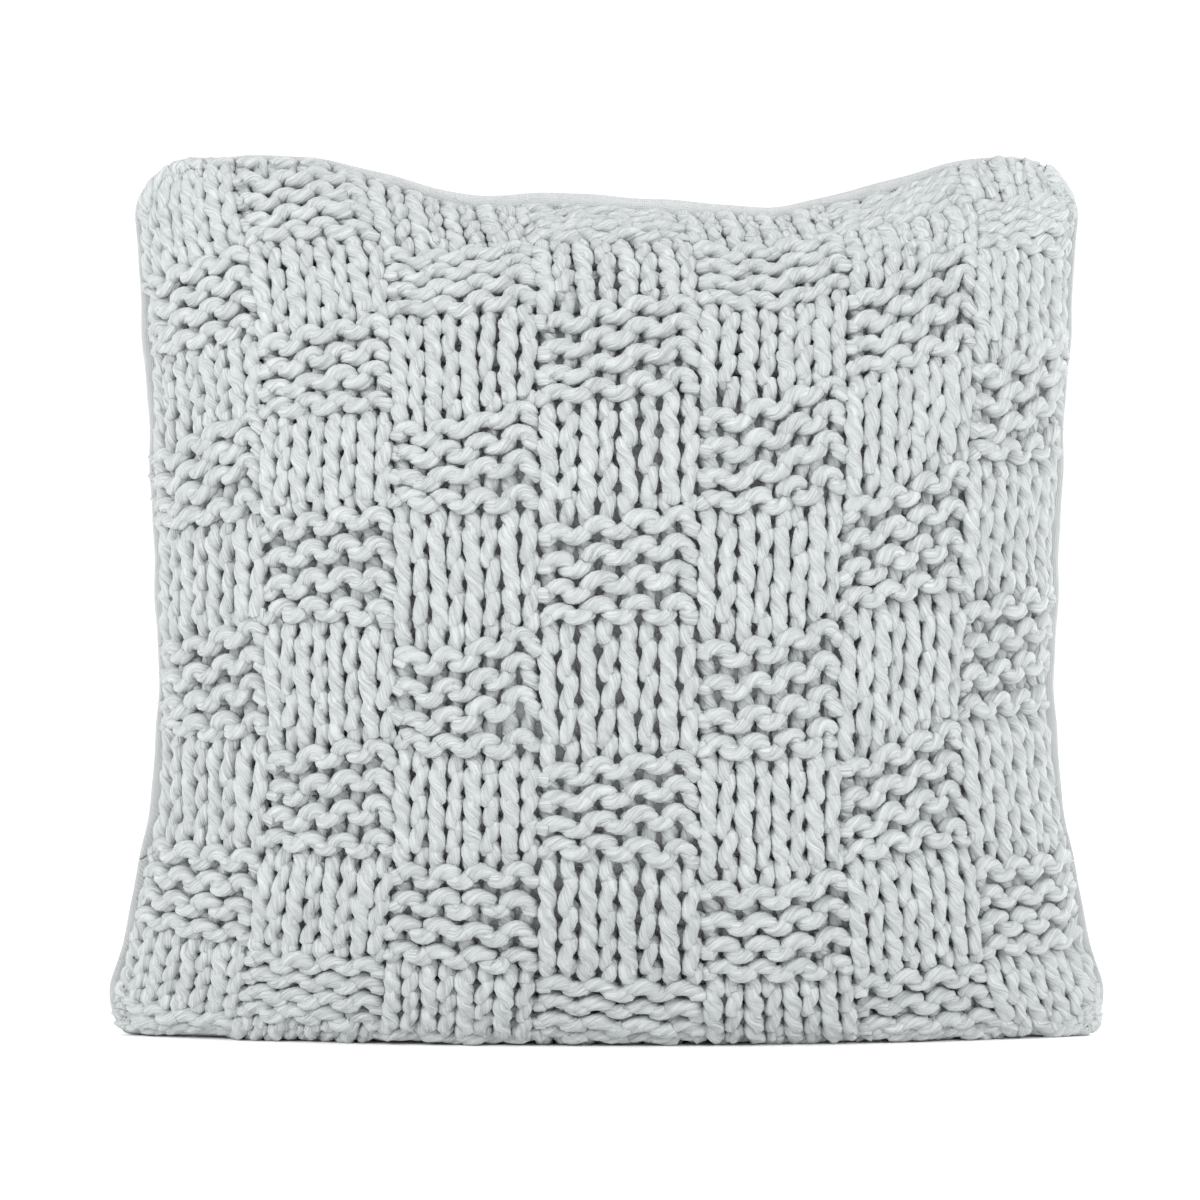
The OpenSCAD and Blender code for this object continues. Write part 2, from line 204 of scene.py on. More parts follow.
def mesh_object(name, verts, faces, material, uvs=None, smooth=True):
    """A mesh from millimetre points. uvs gives a u and v per corner, in the order of faces."""
    mesh = bpy.data.meshes.new(name)
    verts = np.asarray(verts, float) * MM
    faces = np.asarray(faces, np.int32)
    sides = faces.shape[1]
    mesh.vertices.add(len(verts))
    mesh.vertices.foreach_set("co", verts.astype(np.float32).ravel())
    mesh.loops.add(faces.size)
    mesh.loops.foreach_set("vertex_index", faces.ravel())
    mesh.polygons.add(len(faces))
    mesh.polygons.foreach_set("loop_start", np.arange(0, faces.size, sides, dtype=np.int32))
    if uvs is not None:
        layer = mesh.uv_layers.new(name="UVMap")
        layer.data.foreach_set("uv", np.asarray(uvs, np.float32).ravel())
    mesh.update(calc_edges=True)
    mesh.validate()
    if smooth:
        mesh.shade_smooth()
    obj = bpy.data.objects.new(name, mesh)
    bpy.context.scene.collection.objects.link(obj)
    obj.data.materials.append(material)
    return obj


def merge_close(obj, distance, kept=None):
    """Joins points closer than distance, and first deletes those outside kept."""
    mesh = bmesh.new()
    mesh.from_mesh(obj.data)
    if kept is not None:
        loose = [v for v in mesh.verts if v.index not in kept]
        bmesh.ops.delete(mesh, geom=loose, context="VERTS")
    bmesh.ops.remove_doubles(mesh, verts=mesh.verts, dist=distance * MM)
    mesh.to_mesh(obj.data)
    mesh.free()


def piece_of(obj, body, slot, *nodes):
    """Attaches a piece to its body, and hides the CAD nodes that it stands for. slot is not used."""
    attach(obj, body)
    if nodes:
        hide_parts(*nodes)
    return obj


def lengths(line):
    """How far along a line of points each one is."""
    return np.concatenate([[0], np.cumsum(np.linalg.norm(np.diff(line, axis=0), axis=1))])


def swept(line, guide, reach, angle):
    """Rings round a line of points, reach from it at each angle: points, faces and their UVs."""
    along = unit(np.gradient(line, axis=0))
    side = unit(np.cross(along, guide))
    up = np.cross(side, along)
    across = (reach * np.cos(angle))[..., None] * side[:, None]
    points = line[:, None] + across + (reach * np.sin(angle))[..., None] * up[:, None]
    sides = angle.shape[-1]
    i, m = np.meshgrid(np.arange(len(line) - 1), np.arange(sides), indexing="ij")
    m1 = (m + 1) % sides
    faces = np.stack([i * sides + m, i * sides + m1, (i + 1) * sides + m1, (i + 1) * sides + m], -1)
    left, right = m / sides, (m + 1) / sides
    near, far = lengths(line)[i] * MM, lengths(line)[i + 1] * MM
    corners = [(left, near), (right, near), (right, far), (left, far)]
    uvs = np.stack([np.stack(corner, -1) for corner in corners], 2)
    return points.reshape(-1, 3), faces.reshape(-1, 4), uvs.reshape(-1, 4, 2)


def tube(line, radius, sides):
    """A round tube along a line of points, with radius one number or one for each point."""
    angle = np.arange(sides) * math.tau / sides
    reach = np.broadcast_to(radius, (len(line),))[:, None]
    return swept(line, TUBE_GUIDE, reach, angle)


# A direction that no tube here runs along, from which its rings are laid out.
TUBE_GUIDE = np.array([0.31, 0.23, 0.92])


def parts_object(name, parts, material):
    """One mesh from several sets of points, faces and UVs, none of it below the floor."""
    start, faces = 0, []
    for points, part_faces, _ in parts:
        faces.append(part_faces + start)
        start += len(points)
    verts = np.concatenate([part[0] for part in parts])
    verts[:, 2] = np.maximum(verts[:, 2], FLOOR_CLEAR)
    uvs = np.concatenate([part[2] for part in parts])
    return mesh_object(name, verts, np.concatenate(faces), material, uvs)


# ---- camera, light and floor ----

CAMERA_ELEVATION = math.radians(3)
CAMERA_DISTANCE = 2.6
CAMERA_AIM = (-0.003, 0.0, 0.1995)
LENS = 170.8


def make_camera():
    data = bpy.data.cameras.new("camera")
    data.lens = LENS
    data.sensor_width = 36
    camera = bpy.data.objects.new("camera", data)
    bpy.context.scene.collection.objects.link(camera)
    away = CAMERA_DISTANCE * math.cos(CAMERA_ELEVATION)
    up = CAMERA_DISTANCE * math.sin(CAMERA_ELEVATION)
    camera.location = (CAMERA_AIM[0], CAMERA_AIM[1] - away, CAMERA_AIM[2] + up)
    camera.rotation_euler = (math.pi / 2 - CAMERA_ELEVATION, 0, 0)
    bpy.context.scene.camera = camera


def area_light(name, place, size, watts):
    """A square light of size metres that faces the pillow."""
    data = bpy.data.lights.new(name, "AREA")
    data.size = size
    data.energy = watts
    light = bpy.data.objects.new(name, data)
    bpy.context.scene.collection.objects.link(light)
    light.location = place
    toward = [a - p for a, p in zip(LIGHT_AIM, place)]
    light.rotation_euler = mathutils.Vector(toward).to_track_quat("-Z", "Y").to_euler()


WORLD_STRENGTH = 1.06
FLOOR_HALF = 6000
KEY_WATTS = 34
KEY_RIGHT_SHARE = 0.85
BACK_WATTS = 24
LIGHT_AIM = (0, 0, 0.2)


def make_stage():
    """A pale floor that runs out of sight, white surroundings, two soft lights and one behind."""
    bpy.context.scene.view_settings.view_transform = "Standard"
    white = Shade("floor_white", (0.96, 0.96, 0.96), 0.9).material
    corners = [[x * FLOOR_HALF, y * FLOOR_HALF, 0] for x, y in [(-1, -1), (1, -1), (1, 1), (-1, 1)]]
    floor = mesh_object("floor", corners, [[0, 1, 2, 3]], white, smooth=False)
    world = bpy.data.worlds.new("studio")
    world.use_nodes = True
    background = world.node_tree.nodes["Background"]
    background.inputs["Color"].default_value = (1, 1, 1, 1)
    background.inputs["Strength"].default_value = WORLD_STRENGTH
    bpy.context.scene.world = world
    area_light("key_left", (-1.7, -1.4, 1.1), 0.9, KEY_WATTS)
    area_light("key_right", (1.7, -1.4, 1.1), 0.9, KEY_WATTS * KEY_RIGHT_SHARE)
    area_light("back", (1.9, 1.3, 1.2), 0.7, BACK_WATTS)


# ---- materials ----


class Shade:
    """A material and short ways to add nodes to it. A value is a number, a colour or a socket."""

    def __init__(self, name, colour, roughness, sheen=0.0, specular=0.5, metallic=0.0):
        self.material = bpy.data.materials.new(name)
        self.material.use_nodes = True
        self.tree = self.material.node_tree
        self.shader = self.tree.nodes["Principled BSDF"]
        self.shader.inputs["Base Color"].default_value = (*colour, 1)
        self.shader.inputs["Roughness"].default_value = roughness
        self.shader.inputs["Sheen Weight"].default_value = sheen
        self.shader.inputs["Sheen Roughness"].default_value = 0.6
        self.shader.inputs["Specular IOR Level"].default_value = specular
        self.shader.inputs["Metallic"].default_value = metallic

    def put(self, socket, value):
        if isinstance(value, bpy.types.NodeSocket):
            self.tree.links.new(value, socket)
        elif isinstance(value, tuple) and socket.type == "RGBA":
            socket.default_value = (*value, 1)
        else:
            socket.default_value = value

    def node(self, kind, inputs, **settings):
        made = self.tree.nodes.new(kind)
        for key, value in settings.items():
            setattr(made, key, value)
        for key, value in inputs.items():
            self.put(made.inputs[key], value)
        return made

    def place(self):
        """The point's own place, in metres."""
        return self.node("ShaderNodeTexCoord", {}).outputs["Object"]

    def uv(self):
        at = self.node("ShaderNodeUVMap", {}, uv_map="UVMap").outputs["UV"]
        split = self.node("ShaderNodeSeparateXYZ", {0: at})
        return split.outputs[0], split.outputs[1]

    def join(self, x, y, z=0.0):
        return self.node("ShaderNodeCombineXYZ", {0: x, 1: y, 2: z}).outputs[0]

    def math(self, operation, a, b=0.0, c=0.0):
        return self.node("ShaderNodeMath", {0: a, 1: b, 2: c}, operation=operation).outputs[0]

    def times(self, a, b):
        return self.math("MULTIPLY", a, b)

    def noise(self, at, scale, detail=2.0, rough=0.5):
        inputs = {"Vector": at, "Scale": scale, "Detail": detail, "Roughness": rough}
        return self.node("ShaderNodeTexNoise", inputs).outputs["Fac"]

    def span(self, value, low, high, to_low=0.0, to_high=1.0):
        """Maps low..high onto to_low..to_high, and holds it at its ends."""
        inputs = {"Value": value, "From Min": low, "From Max": high}
        inputs |= {"To Min": to_low, "To Max": to_high}
        return self.node("ShaderNodeMapRange", inputs).outputs[0]

    def mix(self, share, a, b, blend="MIX"):
        mixed = self.tree.nodes.new("ShaderNodeMix")
        mixed.data_type = "RGBA"
        mixed.blend_type = blend
        self.put(mixed.inputs[0], share)
        self.put(mixed.inputs[6], a)
        self.put(mixed.inputs[7], b)
        return mixed.outputs[2]

    def colour(self, value):
        self.put(self.shader.inputs["Base Color"], value)

    def roughness(self, value):
        self.put(self.shader.inputs["Roughness"], value)

    def bump(self, height, distance, strength=1.0):
        """Bump by a height of 0 to 1 that stands for a distance in metres, on top of any before it."""
        inputs = {"Height": height, "Distance": distance, "Strength": strength}
        normal = self.shader.inputs["Normal"]
        if normal.is_linked:
            inputs["Normal"] = normal.links[0].from_socket
        self.put(normal, self.node("ShaderNodeBump", inputs).outputs[0])


YARN_PALE = (0.43, 0.451, 0.455)
# The yarn's darker random tone, also used as painted shade in the creases between its plies.
YARN_DARK_TONE_AND_SHADE = (0.36, 0.381, 0.386)


def yarn_material():
    """Loosely plied yarn: fibres that run with the plies, and painted shade in the creases between the
    plies.
    """
    shade = Shade("yarn", YARN_PALE, 0.92, sheen=0.25, specular=0.15)
    u, v = shade.uv()
    angle = shade.times(u, math.tau)
    x = shade.times(shade.math("COSINE", angle), YARN_R * MM)
    y = shade.times(shade.math("SINE", angle), YARN_R * MM)
    along = shade.times(v, 0.09)
    fibre = shade.noise(shade.join(x, y, along), 1300, 3.0, 0.6)
    strand = shade.noise(shade.join(x, y, shade.times(v, 0.16)), 520, 2.0, 0.5)
    lump = shade.noise(shade.place(), 95, 2.0, 0.5)
    crease = shade.math("ABSOLUTE", shade.math("SINE", shade.times(angle, PLIES / 2)))
    # Painted shade: the creases between the plies are coloured darker.
    deep = shade.span(crease, 0.0, 0.55, 0.55, 0.0)
    tone = shade.mix(shade.span(lump, 0.3, 0.7, 0.0, 0.35), YARN_PALE, YARN_DARK_TONE_AND_SHADE)
    tone = shade.mix(deep, tone, YARN_DARK_TONE_AND_SHADE)
    # Fibre streaks: partly random fibre tone, and at their bright end painted highlights.
    fibre_tone_and_highlight = shade.span(fibre, 0.32, 0.68, 0.80, 1.19)
    tone = shade.mix(1.0, tone, shade.join(fibre_tone_and_highlight, fibre_tone_and_highlight, fibre_tone_and_highlight), "MULTIPLY")
    shade.colour(tone)
    shade.bump(strand, 0.0013, 0.9)
    shade.bump(fibre, 0.0009, 0.9)
    return shade.material


def add_weave(shade, u, v, pitch, depth):
    """Bumps of a plain weave whose threads are pitch metres apart, and returns its height."""
    warp = shade.math("SINE", shade.times(u, math.pi / pitch))
    weft = shade.math("SINE", shade.times(v, math.pi / pitch))
    over = shade.span(shade.times(warp, weft), -0.2, 0.2)
    height = shade.math("ADD",
        shade.times(shade.math("ABSOLUTE", warp), over),
        shade.times(shade.math("ABSOLUTE", weft), shade.math("SUBTRACT", 1.0, over)))
    shade.bump(height, depth)
    return height


# Changes of thickness per metre, along and across the threads of woven cloth.
SLUB_LONG, SLUB_WIDE = 40, 1500


def woven_material(name, pale, deep, pitch=0.0009, sheen=0.2, roughness=0.9):
    """Plain-woven cloth with uneven threads and painted shade between them, on a piece whose UVs are
    metres of cloth.
    """
    shade = Shade(name, pale, roughness, sheen=sheen, specular=0.15)
    u, v = shade.uv()
    wave = shade.noise(shade.place(), 60, 2.0)
    shift = shade.times(shade.math("SUBTRACT", wave, 0.5), pitch * 3)
    u = shade.math("ADD", u, shift)
    v = shade.math("ADD", v, shift)
    height = add_weave(shade, u, v, pitch, pitch * 0.35)
    slub_u = shade.noise(shade.join(shade.times(u, SLUB_LONG), shade.times(v, SLUB_WIDE)), 1.0)
    slub_v = shade.noise(shade.join(shade.times(u, SLUB_WIDE), shade.times(v, SLUB_LONG)), 1.0)
    slub = shade.math("ADD", slub_u, slub_v)
    # Painted shade: the weave is coloured darker where it is low, between the threads.
    tone = shade.mix(shade.span(height, 0.1, 0.7), deep, pale)
    tone = shade.mix(shade.span(slub, 0.8, 1.3, 0.35, 0.0), tone, deep)
    shade.colour(tone)
    shade.bump(slub, 0.00025, 0.6)
    shade.bump(shade.noise(shade.place(), 900, 3.0, 0.6), 0.0002, 0.5)
    return shade.material


def satin_material():
    """Blank white satin whose fine threads shine along one direction."""
    shade = Shade("label_satin", (0.72, 0.72, 0.71), 0.38, sheen=0.3, specular=0.5)
    shade.shader.inputs["Anisotropic"].default_value = 0.5
    u, v = shade.uv()
    thread = shade.noise(shade.join(shade.times(u, 6000), shade.times(v, 250)), 1.0, 2.0)
    shade.bump(thread, 0.00006, 0.6)
    tone = shade.mix(shade.span(thread, 0.3, 0.7), (0.66, 0.66, 0.65), (0.76, 0.76, 0.75))
    shade.colour(tone)
    return shade.material


TAPE_RIB, TAPE_TWILL, TAPE_ZIGZAG = 0.0011, 0.0008, 0.0012


def tape_material():
    """Close herringbone tape with painted shade in its low parts, worked out from the point's place
    because CAD pieces have no UVs.
    """
    shade = Shade("zipper_tape", (0.62, 0.645, 0.65), 0.85, sheen=0.15, specular=0.2)
    split = shade.node("ShaderNodeSeparateXYZ", {0: shade.place()})
    x, z = split.outputs[0], split.outputs[2]
    rib = shade.math("SINE", shade.times(x, math.tau / TAPE_RIB))
    zigzag = shade.math("PINGPONG", z, TAPE_ZIGZAG)
    twill = shade.math("SINE", shade.times(shade.math("ADD", x, zigzag), math.tau / TAPE_TWILL))
    height = shade.math("ADD", rib, twill)
    shade.bump(height, 0.00008, 0.8)
    # Painted shade: the tape is coloured darker where its ribs and twill are low.
    tone = shade.mix(shade.span(height, -1.5, 1.5), (0.50, 0.525, 0.53), (0.66, 0.685, 0.69))
    shade.colour(tone)
    return shade.material


def nylon_material():
    """Slightly translucent nylon, scuffed here and there."""
    shade = Shade("zipper_nylon", (0.66, 0.685, 0.69), 0.38, specular=0.5)
    shade.shader.inputs["Subsurface Weight"].default_value = 0.15
    shade.shader.inputs["Subsurface Scale"].default_value = 0.001
    worn = shade.noise(shade.place(), 500, 3.0)
    shade.roughness(shade.span(worn, 0.3, 0.7, 0.30, 0.48))
    shade.colour(shade.mix(shade.span(worn, 0.3, 0.7), (0.61, 0.635, 0.64), (0.69, 0.715, 0.72)))
    return shade.material


def metal_material():
    """Satin painted zinc alloy, rubbed bare and brighter here and there."""
    shade = Shade("zipper_metal", (0.42, 0.43, 0.44), 0.35, specular=0.5, metallic=0.85)
    rub = shade.noise(shade.place(), 700, 4.0, 0.6)
    fine = shade.noise(shade.place(), 5000, 2.0)
    shade.roughness(shade.span(rub, 0.35, 0.65, 0.26, 0.46))
    shade.colour(shade.mix(shade.span(rub, 0.35, 0.7), (0.34, 0.35, 0.36), (0.50, 0.51, 0.52)))
    shade.bump(fine, 0.00002, 0.5)
    return shade.material


THREAD_TWIST = 0.0012


def thread_material():
    """Three-ply sewing thread, with painted shade in the grooves between its plies."""
    shade = Shade("thread", (0.68, 0.70, 0.71), 0.6, sheen=0.2, specular=0.35)
    u, v = shade.uv()
    winding = shade.times(v, math.tau / THREAD_TWIST)
    twist = shade.math("ADD", shade.times(u, math.tau), winding)
    strand = shade.math("SINE", shade.times(twist, 3.0))
    shade.bump(strand, 0.00008, 0.9)
    # Painted shade: the grooves between the plies are coloured darker.
    shade.colour(shade.mix(shade.span(strand, -1.0, 0.6), (0.52, 0.54, 0.55), (0.71, 0.73, 0.74)))
    return shade.material


def wadding_material():
    """Loose white polyester fibre in soft clumps."""
    shade = Shade("wadding", (0.88, 0.88, 0.87), 0.95, sheen=0.4, specular=0.1)
    fibre = shade.noise(shade.place(), 900, 5.0, 0.7)
    clump = shade.noise(shade.place(), 70, 3.0)
    shade.bump(clump, 0.006, 0.7)
    shade.bump(fibre, 0.0015, 0.8)
    shade.colour(shade.mix(shade.span(fibre, 0.3, 0.7), (0.78, 0.78, 0.77), (0.92, 0.92, 0.91)))
    return shade.material


# ---- the knitted front ----

BLOCK = 4
BLOCK_COLUMNS = 7
BLOCK_ROWS = 10
FIRST_ROWS = 0.05
STITCHES = BLOCK * BLOCK_COLUMNS
COURSES = BLOCK * BLOCK_ROWS

# How the blocks lie: columns narrow towards the sides and the middle ones are pushed right; rows
# narrow towards the top and bottom, climb to the right above, and sag towards the sides.
COLUMN_CURVE, COLUMN_END, COLUMN_PUSH = 0.15, 0.995, 0.05
ROW_CURVE, ROW_LIFT = 0.55, 0.10
ROW_TILT, ROW_TILT_FALL = 0.17, 0.024
ROW_SAG, ROW_SAG_FALL = 0.13, 0.009
ROW_UNEVEN = 0.012

# The yarn, and the points round it and along each stitch.
YARN_R, YARN_PITCH, YARN_SINK = 3.65, 28.0, 6.4
PLIES, PLY_OUT, PLY_R = 3, 0.33, 0.69
RING, PER_STITCH = 18, 32
# A loop's sideways sway, its height in rows and how far it passes in front of and behind others.
LOOP_SWAY, LEG_BIAS, LOOP_HEIGHT, LOOP_DEPTH = 1.08, 0.10, 0.70, 2.5
BUMP_SWELL, LEG_SWELL, LEG_UNEVEN = 0.08, 0.05, 0.09
# The knit's edge: how far inside the seam it lies, and how it wavers, flattens and stays in front.
EDGE_IN_SIDE, EDGE_IN_TOP, EDGE_WAVE = -2.4, 1.8, 0.8
EDGE_FADE, EDGE_SINK, EDGE_FRONT = 1.1, 0.4, 3.6
STRIP_MIDDLE, STRIP_FULL, STRIP_NONE = 0.12, 0.45, 0.75
RELIEF_ACROSS, RELIEF_ALONG, RELIEF_REACH = 1.5, 1.1, 0.7
STRAND_LEAN = 0.6
STITCH_W = 16.3


ROW_WAVER = np.random.default_rng(21).normal(0, ROW_UNEVEN, (BLOCK_ROWS + 1, BLOCK_COLUMNS))


def column_u(s):
    """u at s stitches from the left edge."""
    x = 2 * s / STITCHES - 1
    u = COLUMN_END * lerp(x, np.sin(x * math.pi / 2), COLUMN_CURVE)
    return u + COLUMN_PUSH * ease(-0.3, 0.3, x) * (1 - x**4)


def row_level(line, u, column):
    """v along the lower edge of a row of blocks; lines count from 0 at the top."""
    turn = math.pi * line / BLOCK_ROWS
    level = lerp(1 - 2 * line / BLOCK_ROWS, math.cos(turn), ROW_CURVE) + ROW_LIFT * math.sin(turn)
    slope = (ROW_TILT - ROW_TILT_FALL * line) * u - (ROW_SAG - ROW_SAG_FALL * line) * u * u
    return level + slope * min(1, line / 2) + spline(ROW_WAVER[line], column)


def knit_uv(s, t):
    """u and v at s stitches from the left edge and t rows from the top."""
    s, t = np.clip(s, 0, STITCHES), np.clip(t, 0, COURSES)
    u = column_u(s)
    column = np.clip(s / BLOCK - 0.5, 0, BLOCK_COLUMNS - 1)
    inner = [row_level(line, u, column) for line in range(1, BLOCK_ROWS)]
    levels = np.stack([np.ones_like(u), *inner, -np.ones_like(u)])
    levels[1] = np.minimum(levels[1], 1 - FIRST_ROWS)
    row = t / BLOCK
    i = np.clip(np.floor(row).astype(int), 0, BLOCK_ROWS - 1)
    where = np.arange(len(u))
    pad = np.concatenate([2 * levels[:1] - levels[1:2], levels, 2 * levels[-1:] - levels[-2:-1]])
    v = between([pad[i + k, where] for k in range(4)], row - i)
    return u, np.clip(v, -1, 1)


def strip_share(u, v):
    """1 in the middle of the top edge, where a strip of the back shows over the knit, and 0 away
    from it, where the knit covers the edge."""
    return ease(0.7, 1, v) * ease(STRIP_NONE, STRIP_FULL, np.abs(u - STRIP_MIDDLE))


def knit_surface(s, t):
    """The knit's outer face, which wavers along the seam that it covers."""
    u, v = knit_uv(s, t)
    wave = EDGE_WAVE * (np.sin(5 * v + 2 * u) + np.sin(13 * v - u))
    return surface(u, v, -1, lerp(EDGE_IN_SIDE, EDGE_IN_TOP, strip_share(u, v)) + wave)


def edge_share(s, t):
    """0 on the knit's edges and 1 from EDGE_FADE stitches in from them."""
    near = np.minimum(np.minimum(s, STITCHES - s), np.minimum(t, COURSES - t))
    return ease(-0.2, EDGE_FADE, near)


def knit_frame(s, t):
    """A point on the front's outer face, and the direction outwards there."""
    step = 0.12
    point = knit_surface(s, t)
    s, t = np.clip(s, 2 * step, STITCHES - 2 * step), np.clip(t, 2 * step, COURSES - 2 * step)
    across = unit(knit_surface(s + step, t) - knit_surface(s - step, t))
    down = unit(knit_surface(s, t + step) - knit_surface(s, t - step))
    out = unit(np.cross(across, -down))
    return point, out


def stitch_kind(course, stitch):
    """1 for a knit stitch and -1 for a purl one; courses count from the bottom."""
    row = (COURSES - 1 - course) // BLOCK + 1
    column = stitch // BLOCK
    return 1 if (row + column) % 2 else -1


def course_depths(course, stitch, phase):
    """How far in front of the fabric's middle the yarn lies along one stitch."""
    def kind(c, s):
        return stitch_kind(min(c, COURSES - 1), min(max(s, 0), STITCHES - 1))
    own, above = kind(course, stitch), kind(course + 1, stitch)
    left = (own + kind(course, stitch - 1)) / 2
    right = (own + kind(course, stitch + 1)) / 2
    at = [-1, -0.89, -0.71, -0.33, -0.15, 0.15, 0.33, 0.71, 0.89, 1]
    depth = [-left, -own, own, above, -above, -above, above, own, -own, -right]
    x = phase / math.pi
    i = np.clip(np.searchsorted(at, x, side="right") - 1, 0, len(at) - 2)
    at, depth = np.array(at), np.array(depth, float)
    return lerp(depth[i], depth[i + 1], ease(0, 1, (x - at[i]) / (at[i + 1] - at[i])))


def step_wave(d):
    """An odd wave that is -1 and 1 one RELIEF_REACH either side of 0 and dies away beyond."""
    d = d / RELIEF_REACH
    return d * np.exp((1 - d * d) / 2)


def relief(s, t):
    """How a block curls at its edges: knit comes forward beside purl, and purl above and below knit."""
    rise = np.zeros_like(s)
    column = np.clip(np.floor(s / BLOCK), 0, BLOCK_COLUMNS - 1)
    row = np.clip(np.floor(t / BLOCK), 0, BLOCK_ROWS - 1)
    for line in range(1, BLOCK_COLUMNS):
        right = np.where((row + 1 + line) % 2, 1, -1)
        rise += RELIEF_ACROSS * right * step_wave(s - line * BLOCK)
    for line in range(1, BLOCK_ROWS):
        below = np.where((line + 1 + column) % 2, 1, -1)
        rise -= RELIEF_ALONG * below * step_wave(t - line * BLOCK)
    return rise


def make_climbs():
    """How many rows the purl rows of each block climb either side of its middle."""
    rng = np.random.default_rng(12)
    climbs = rng.uniform(0.05, 0.75, (BLOCK_ROWS, BLOCK_COLUMNS))
    climbs[:4, [0, -1]] += 0.4
    climbs[:3, -2] += 0.5
    climbs[-3:] *= 0.3
    return climbs


CLIMBS = make_climbs()


def pulled(s, t):
    """Pulls the stitches askew, for the knit is loose on its filling.

    Purl rows climb to the right, and the knit strands near the top lean to the left.
    """
    column = np.clip(np.floor(s / BLOCK), 0, BLOCK_COLUMNS - 1).astype(int)
    row = np.clip(np.floor(t / BLOCK), 0, BLOCK_ROWS - 1).astype(int)
    purl = (row + 1 + column) % 2 == 0
    across = 2 * (s / BLOCK - column) - 1
    down = 2 * (t / BLOCK - row) - 1
    window = (1 - np.abs(across) ** 6) * (1 - np.abs(down) ** 4)
    climb = CLIMBS[row, column] * across * window * purl
    room = np.clip(np.minimum(s, STITCHES - s) / 3, 0, 1)
    return s - STRAND_LEAN * ease(8, 0, t) * room, t - climb


def course_line(course):
    """The centre line of one course's yarn, its outward directions and how thick it is."""
    rng = np.random.default_rng(1000 + course)
    phase = np.linspace(-math.pi, math.pi, PER_STITCH, endpoint=False)
    n = STITCHES * PER_STITCH
    tau = np.tile(phase, STITCHES)
    stitch = np.repeat(np.arange(STITCHES), PER_STITCH)
    sway = LOOP_SWAY + LEG_BIAS * np.sin(tau) + np.repeat(rng.normal(0, 0.08, STITCHES), PER_STITCH)
    sideways = spline(rng.normal(0, 0.035, STITCHES + 2), stitch + tau / math.tau + 0.5)
    lift = spline(rng.normal(0, 0.05, STITCHES + 2), stitch + tau / math.tau + 0.5)
    s = stitch + 0.5 + (tau + sway * np.sin(2 * tau)) / math.tau + sideways
    t = COURSES - 0.5 - course - LOOP_HEIGHT * np.cos(tau) + lift
    s, t = pulled(s, t)
    depth = np.concatenate([course_depths(course, i, phase) for i in range(STITCHES)])
    point, out = knit_frame(s, t)
    wobble = wander(2000 + course, n, PER_STITCH * 0.7, 0.35)
    inner = edge_share(s, t)
    lift_off = inner * (LOOP_DEPTH * depth + wobble + relief(s, t)) - EDGE_SINK * (1 - inner)
    line = point + out * (lift_off - YARN_SINK)[:, None]
    line[:, 1] = np.minimum(line[:, 1], lean(knit_uv(s, t)[1]) - EDGE_FRONT)
    front = np.clip(depth, 0, 1) * np.cos(tau) ** 2
    leg = np.sin(tau) ** 2
    thick = 1 + BUMP_SWELL * front + leg * (LEG_SWELL - LEG_UNEVEN * np.sin(tau))
    thick += wander(3000 + course, n, PER_STITCH * 0.6, 0.05)
    return line, out, thick


def ply_profile():
    """How far each of the ring's points stands from the yarn's centre, as a share of its radius:
    round plies of radius PLY_R whose centres are PLY_OUT from the yarn's own."""
    angle = np.arange(RING) * math.tau / RING
    from_ply = (angle + math.pi / PLIES) % (math.tau / PLIES) - math.pi / PLIES
    from_ply = np.abs(from_ply) - math.pi / PLIES
    return PLY_OUT * np.cos(from_ply) + np.sqrt(PLY_R**2 - (PLY_OUT * np.sin(from_ply)) ** 2)


def yarn_tube(line, out, thick, first_angle):
    """The plied yarn along line: its points, its faces and their UVs."""
    turn = first_angle + lengths(line) * math.tau / YARN_PITCH
    angle = turn[:, None] + np.arange(RING) * math.tau / RING
    return swept(line, out, YARN_R * thick[:, None] * ply_profile(), angle)


# How far the yarn's twist turns from one course to the next.
COURSE_TURN = 1.7


def make_knit(material):
    """The knit, a band of four courses to a piece."""
    for band in range(BLOCK_ROWS):
        parts = []
        for course in range(band * BLOCK, (band + 1) * BLOCK):
            line, out, thick = course_line(course)
            parts.append(yarn_tube(line, out, thick, course * COURSE_TURN))
        piece = parts_object(f"knit_band_{band + 1:02d}", parts, material)
        piece_of(piece, "pillow", "knit_yarn")
    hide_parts("front_knit_panel")


# ---- cloth on the pillow's own surface ----

LINING_IN, LINING_T = 11.5, 0.6
BACK_STEPS = 150
# The section of the strip that rolls over the edge: how far in, and how far forward, it lies.
WRAP_IN = [0, 0.5, 1.6, 3.2, 5.4, 7.6, 9.6, 11.2]
WRAP_FORWARD = [0, 1.9, 3.5, 4.4, 4.7, 4.0, 2.4, 0.4]
WRAP_LOW = 0.25

ZIP_Z = 80
ZIP_R = 560
ZIP_HALF = 16.1
ZIP_GAP = 9.2
ZIP_Y = 72
ZIP_OVER = 1.3
BAND_FULL, BAND_NONE = 16, 55
ZIP_CENTRE_Y = ZIP_Y - ZIP_R
ARC_END_X = ZIP_R * math.sin(math.radians(ZIP_HALF + ZIP_OVER + 0.2))
ARC_END_SLOPE = -ARC_END_X / math.sqrt(ZIP_R**2 - ARC_END_X**2)


def grid_faces(rows, cols, flip=False):
    j, i = np.meshgrid(np.arange(rows - 1), np.arange(cols - 1), indexing="ij")
    a = (j * cols + i).ravel()
    faces = np.stack([a, a + 1, a + cols + 1, a + cols], -1)
    return faces[:, ::-1] if flip else faces


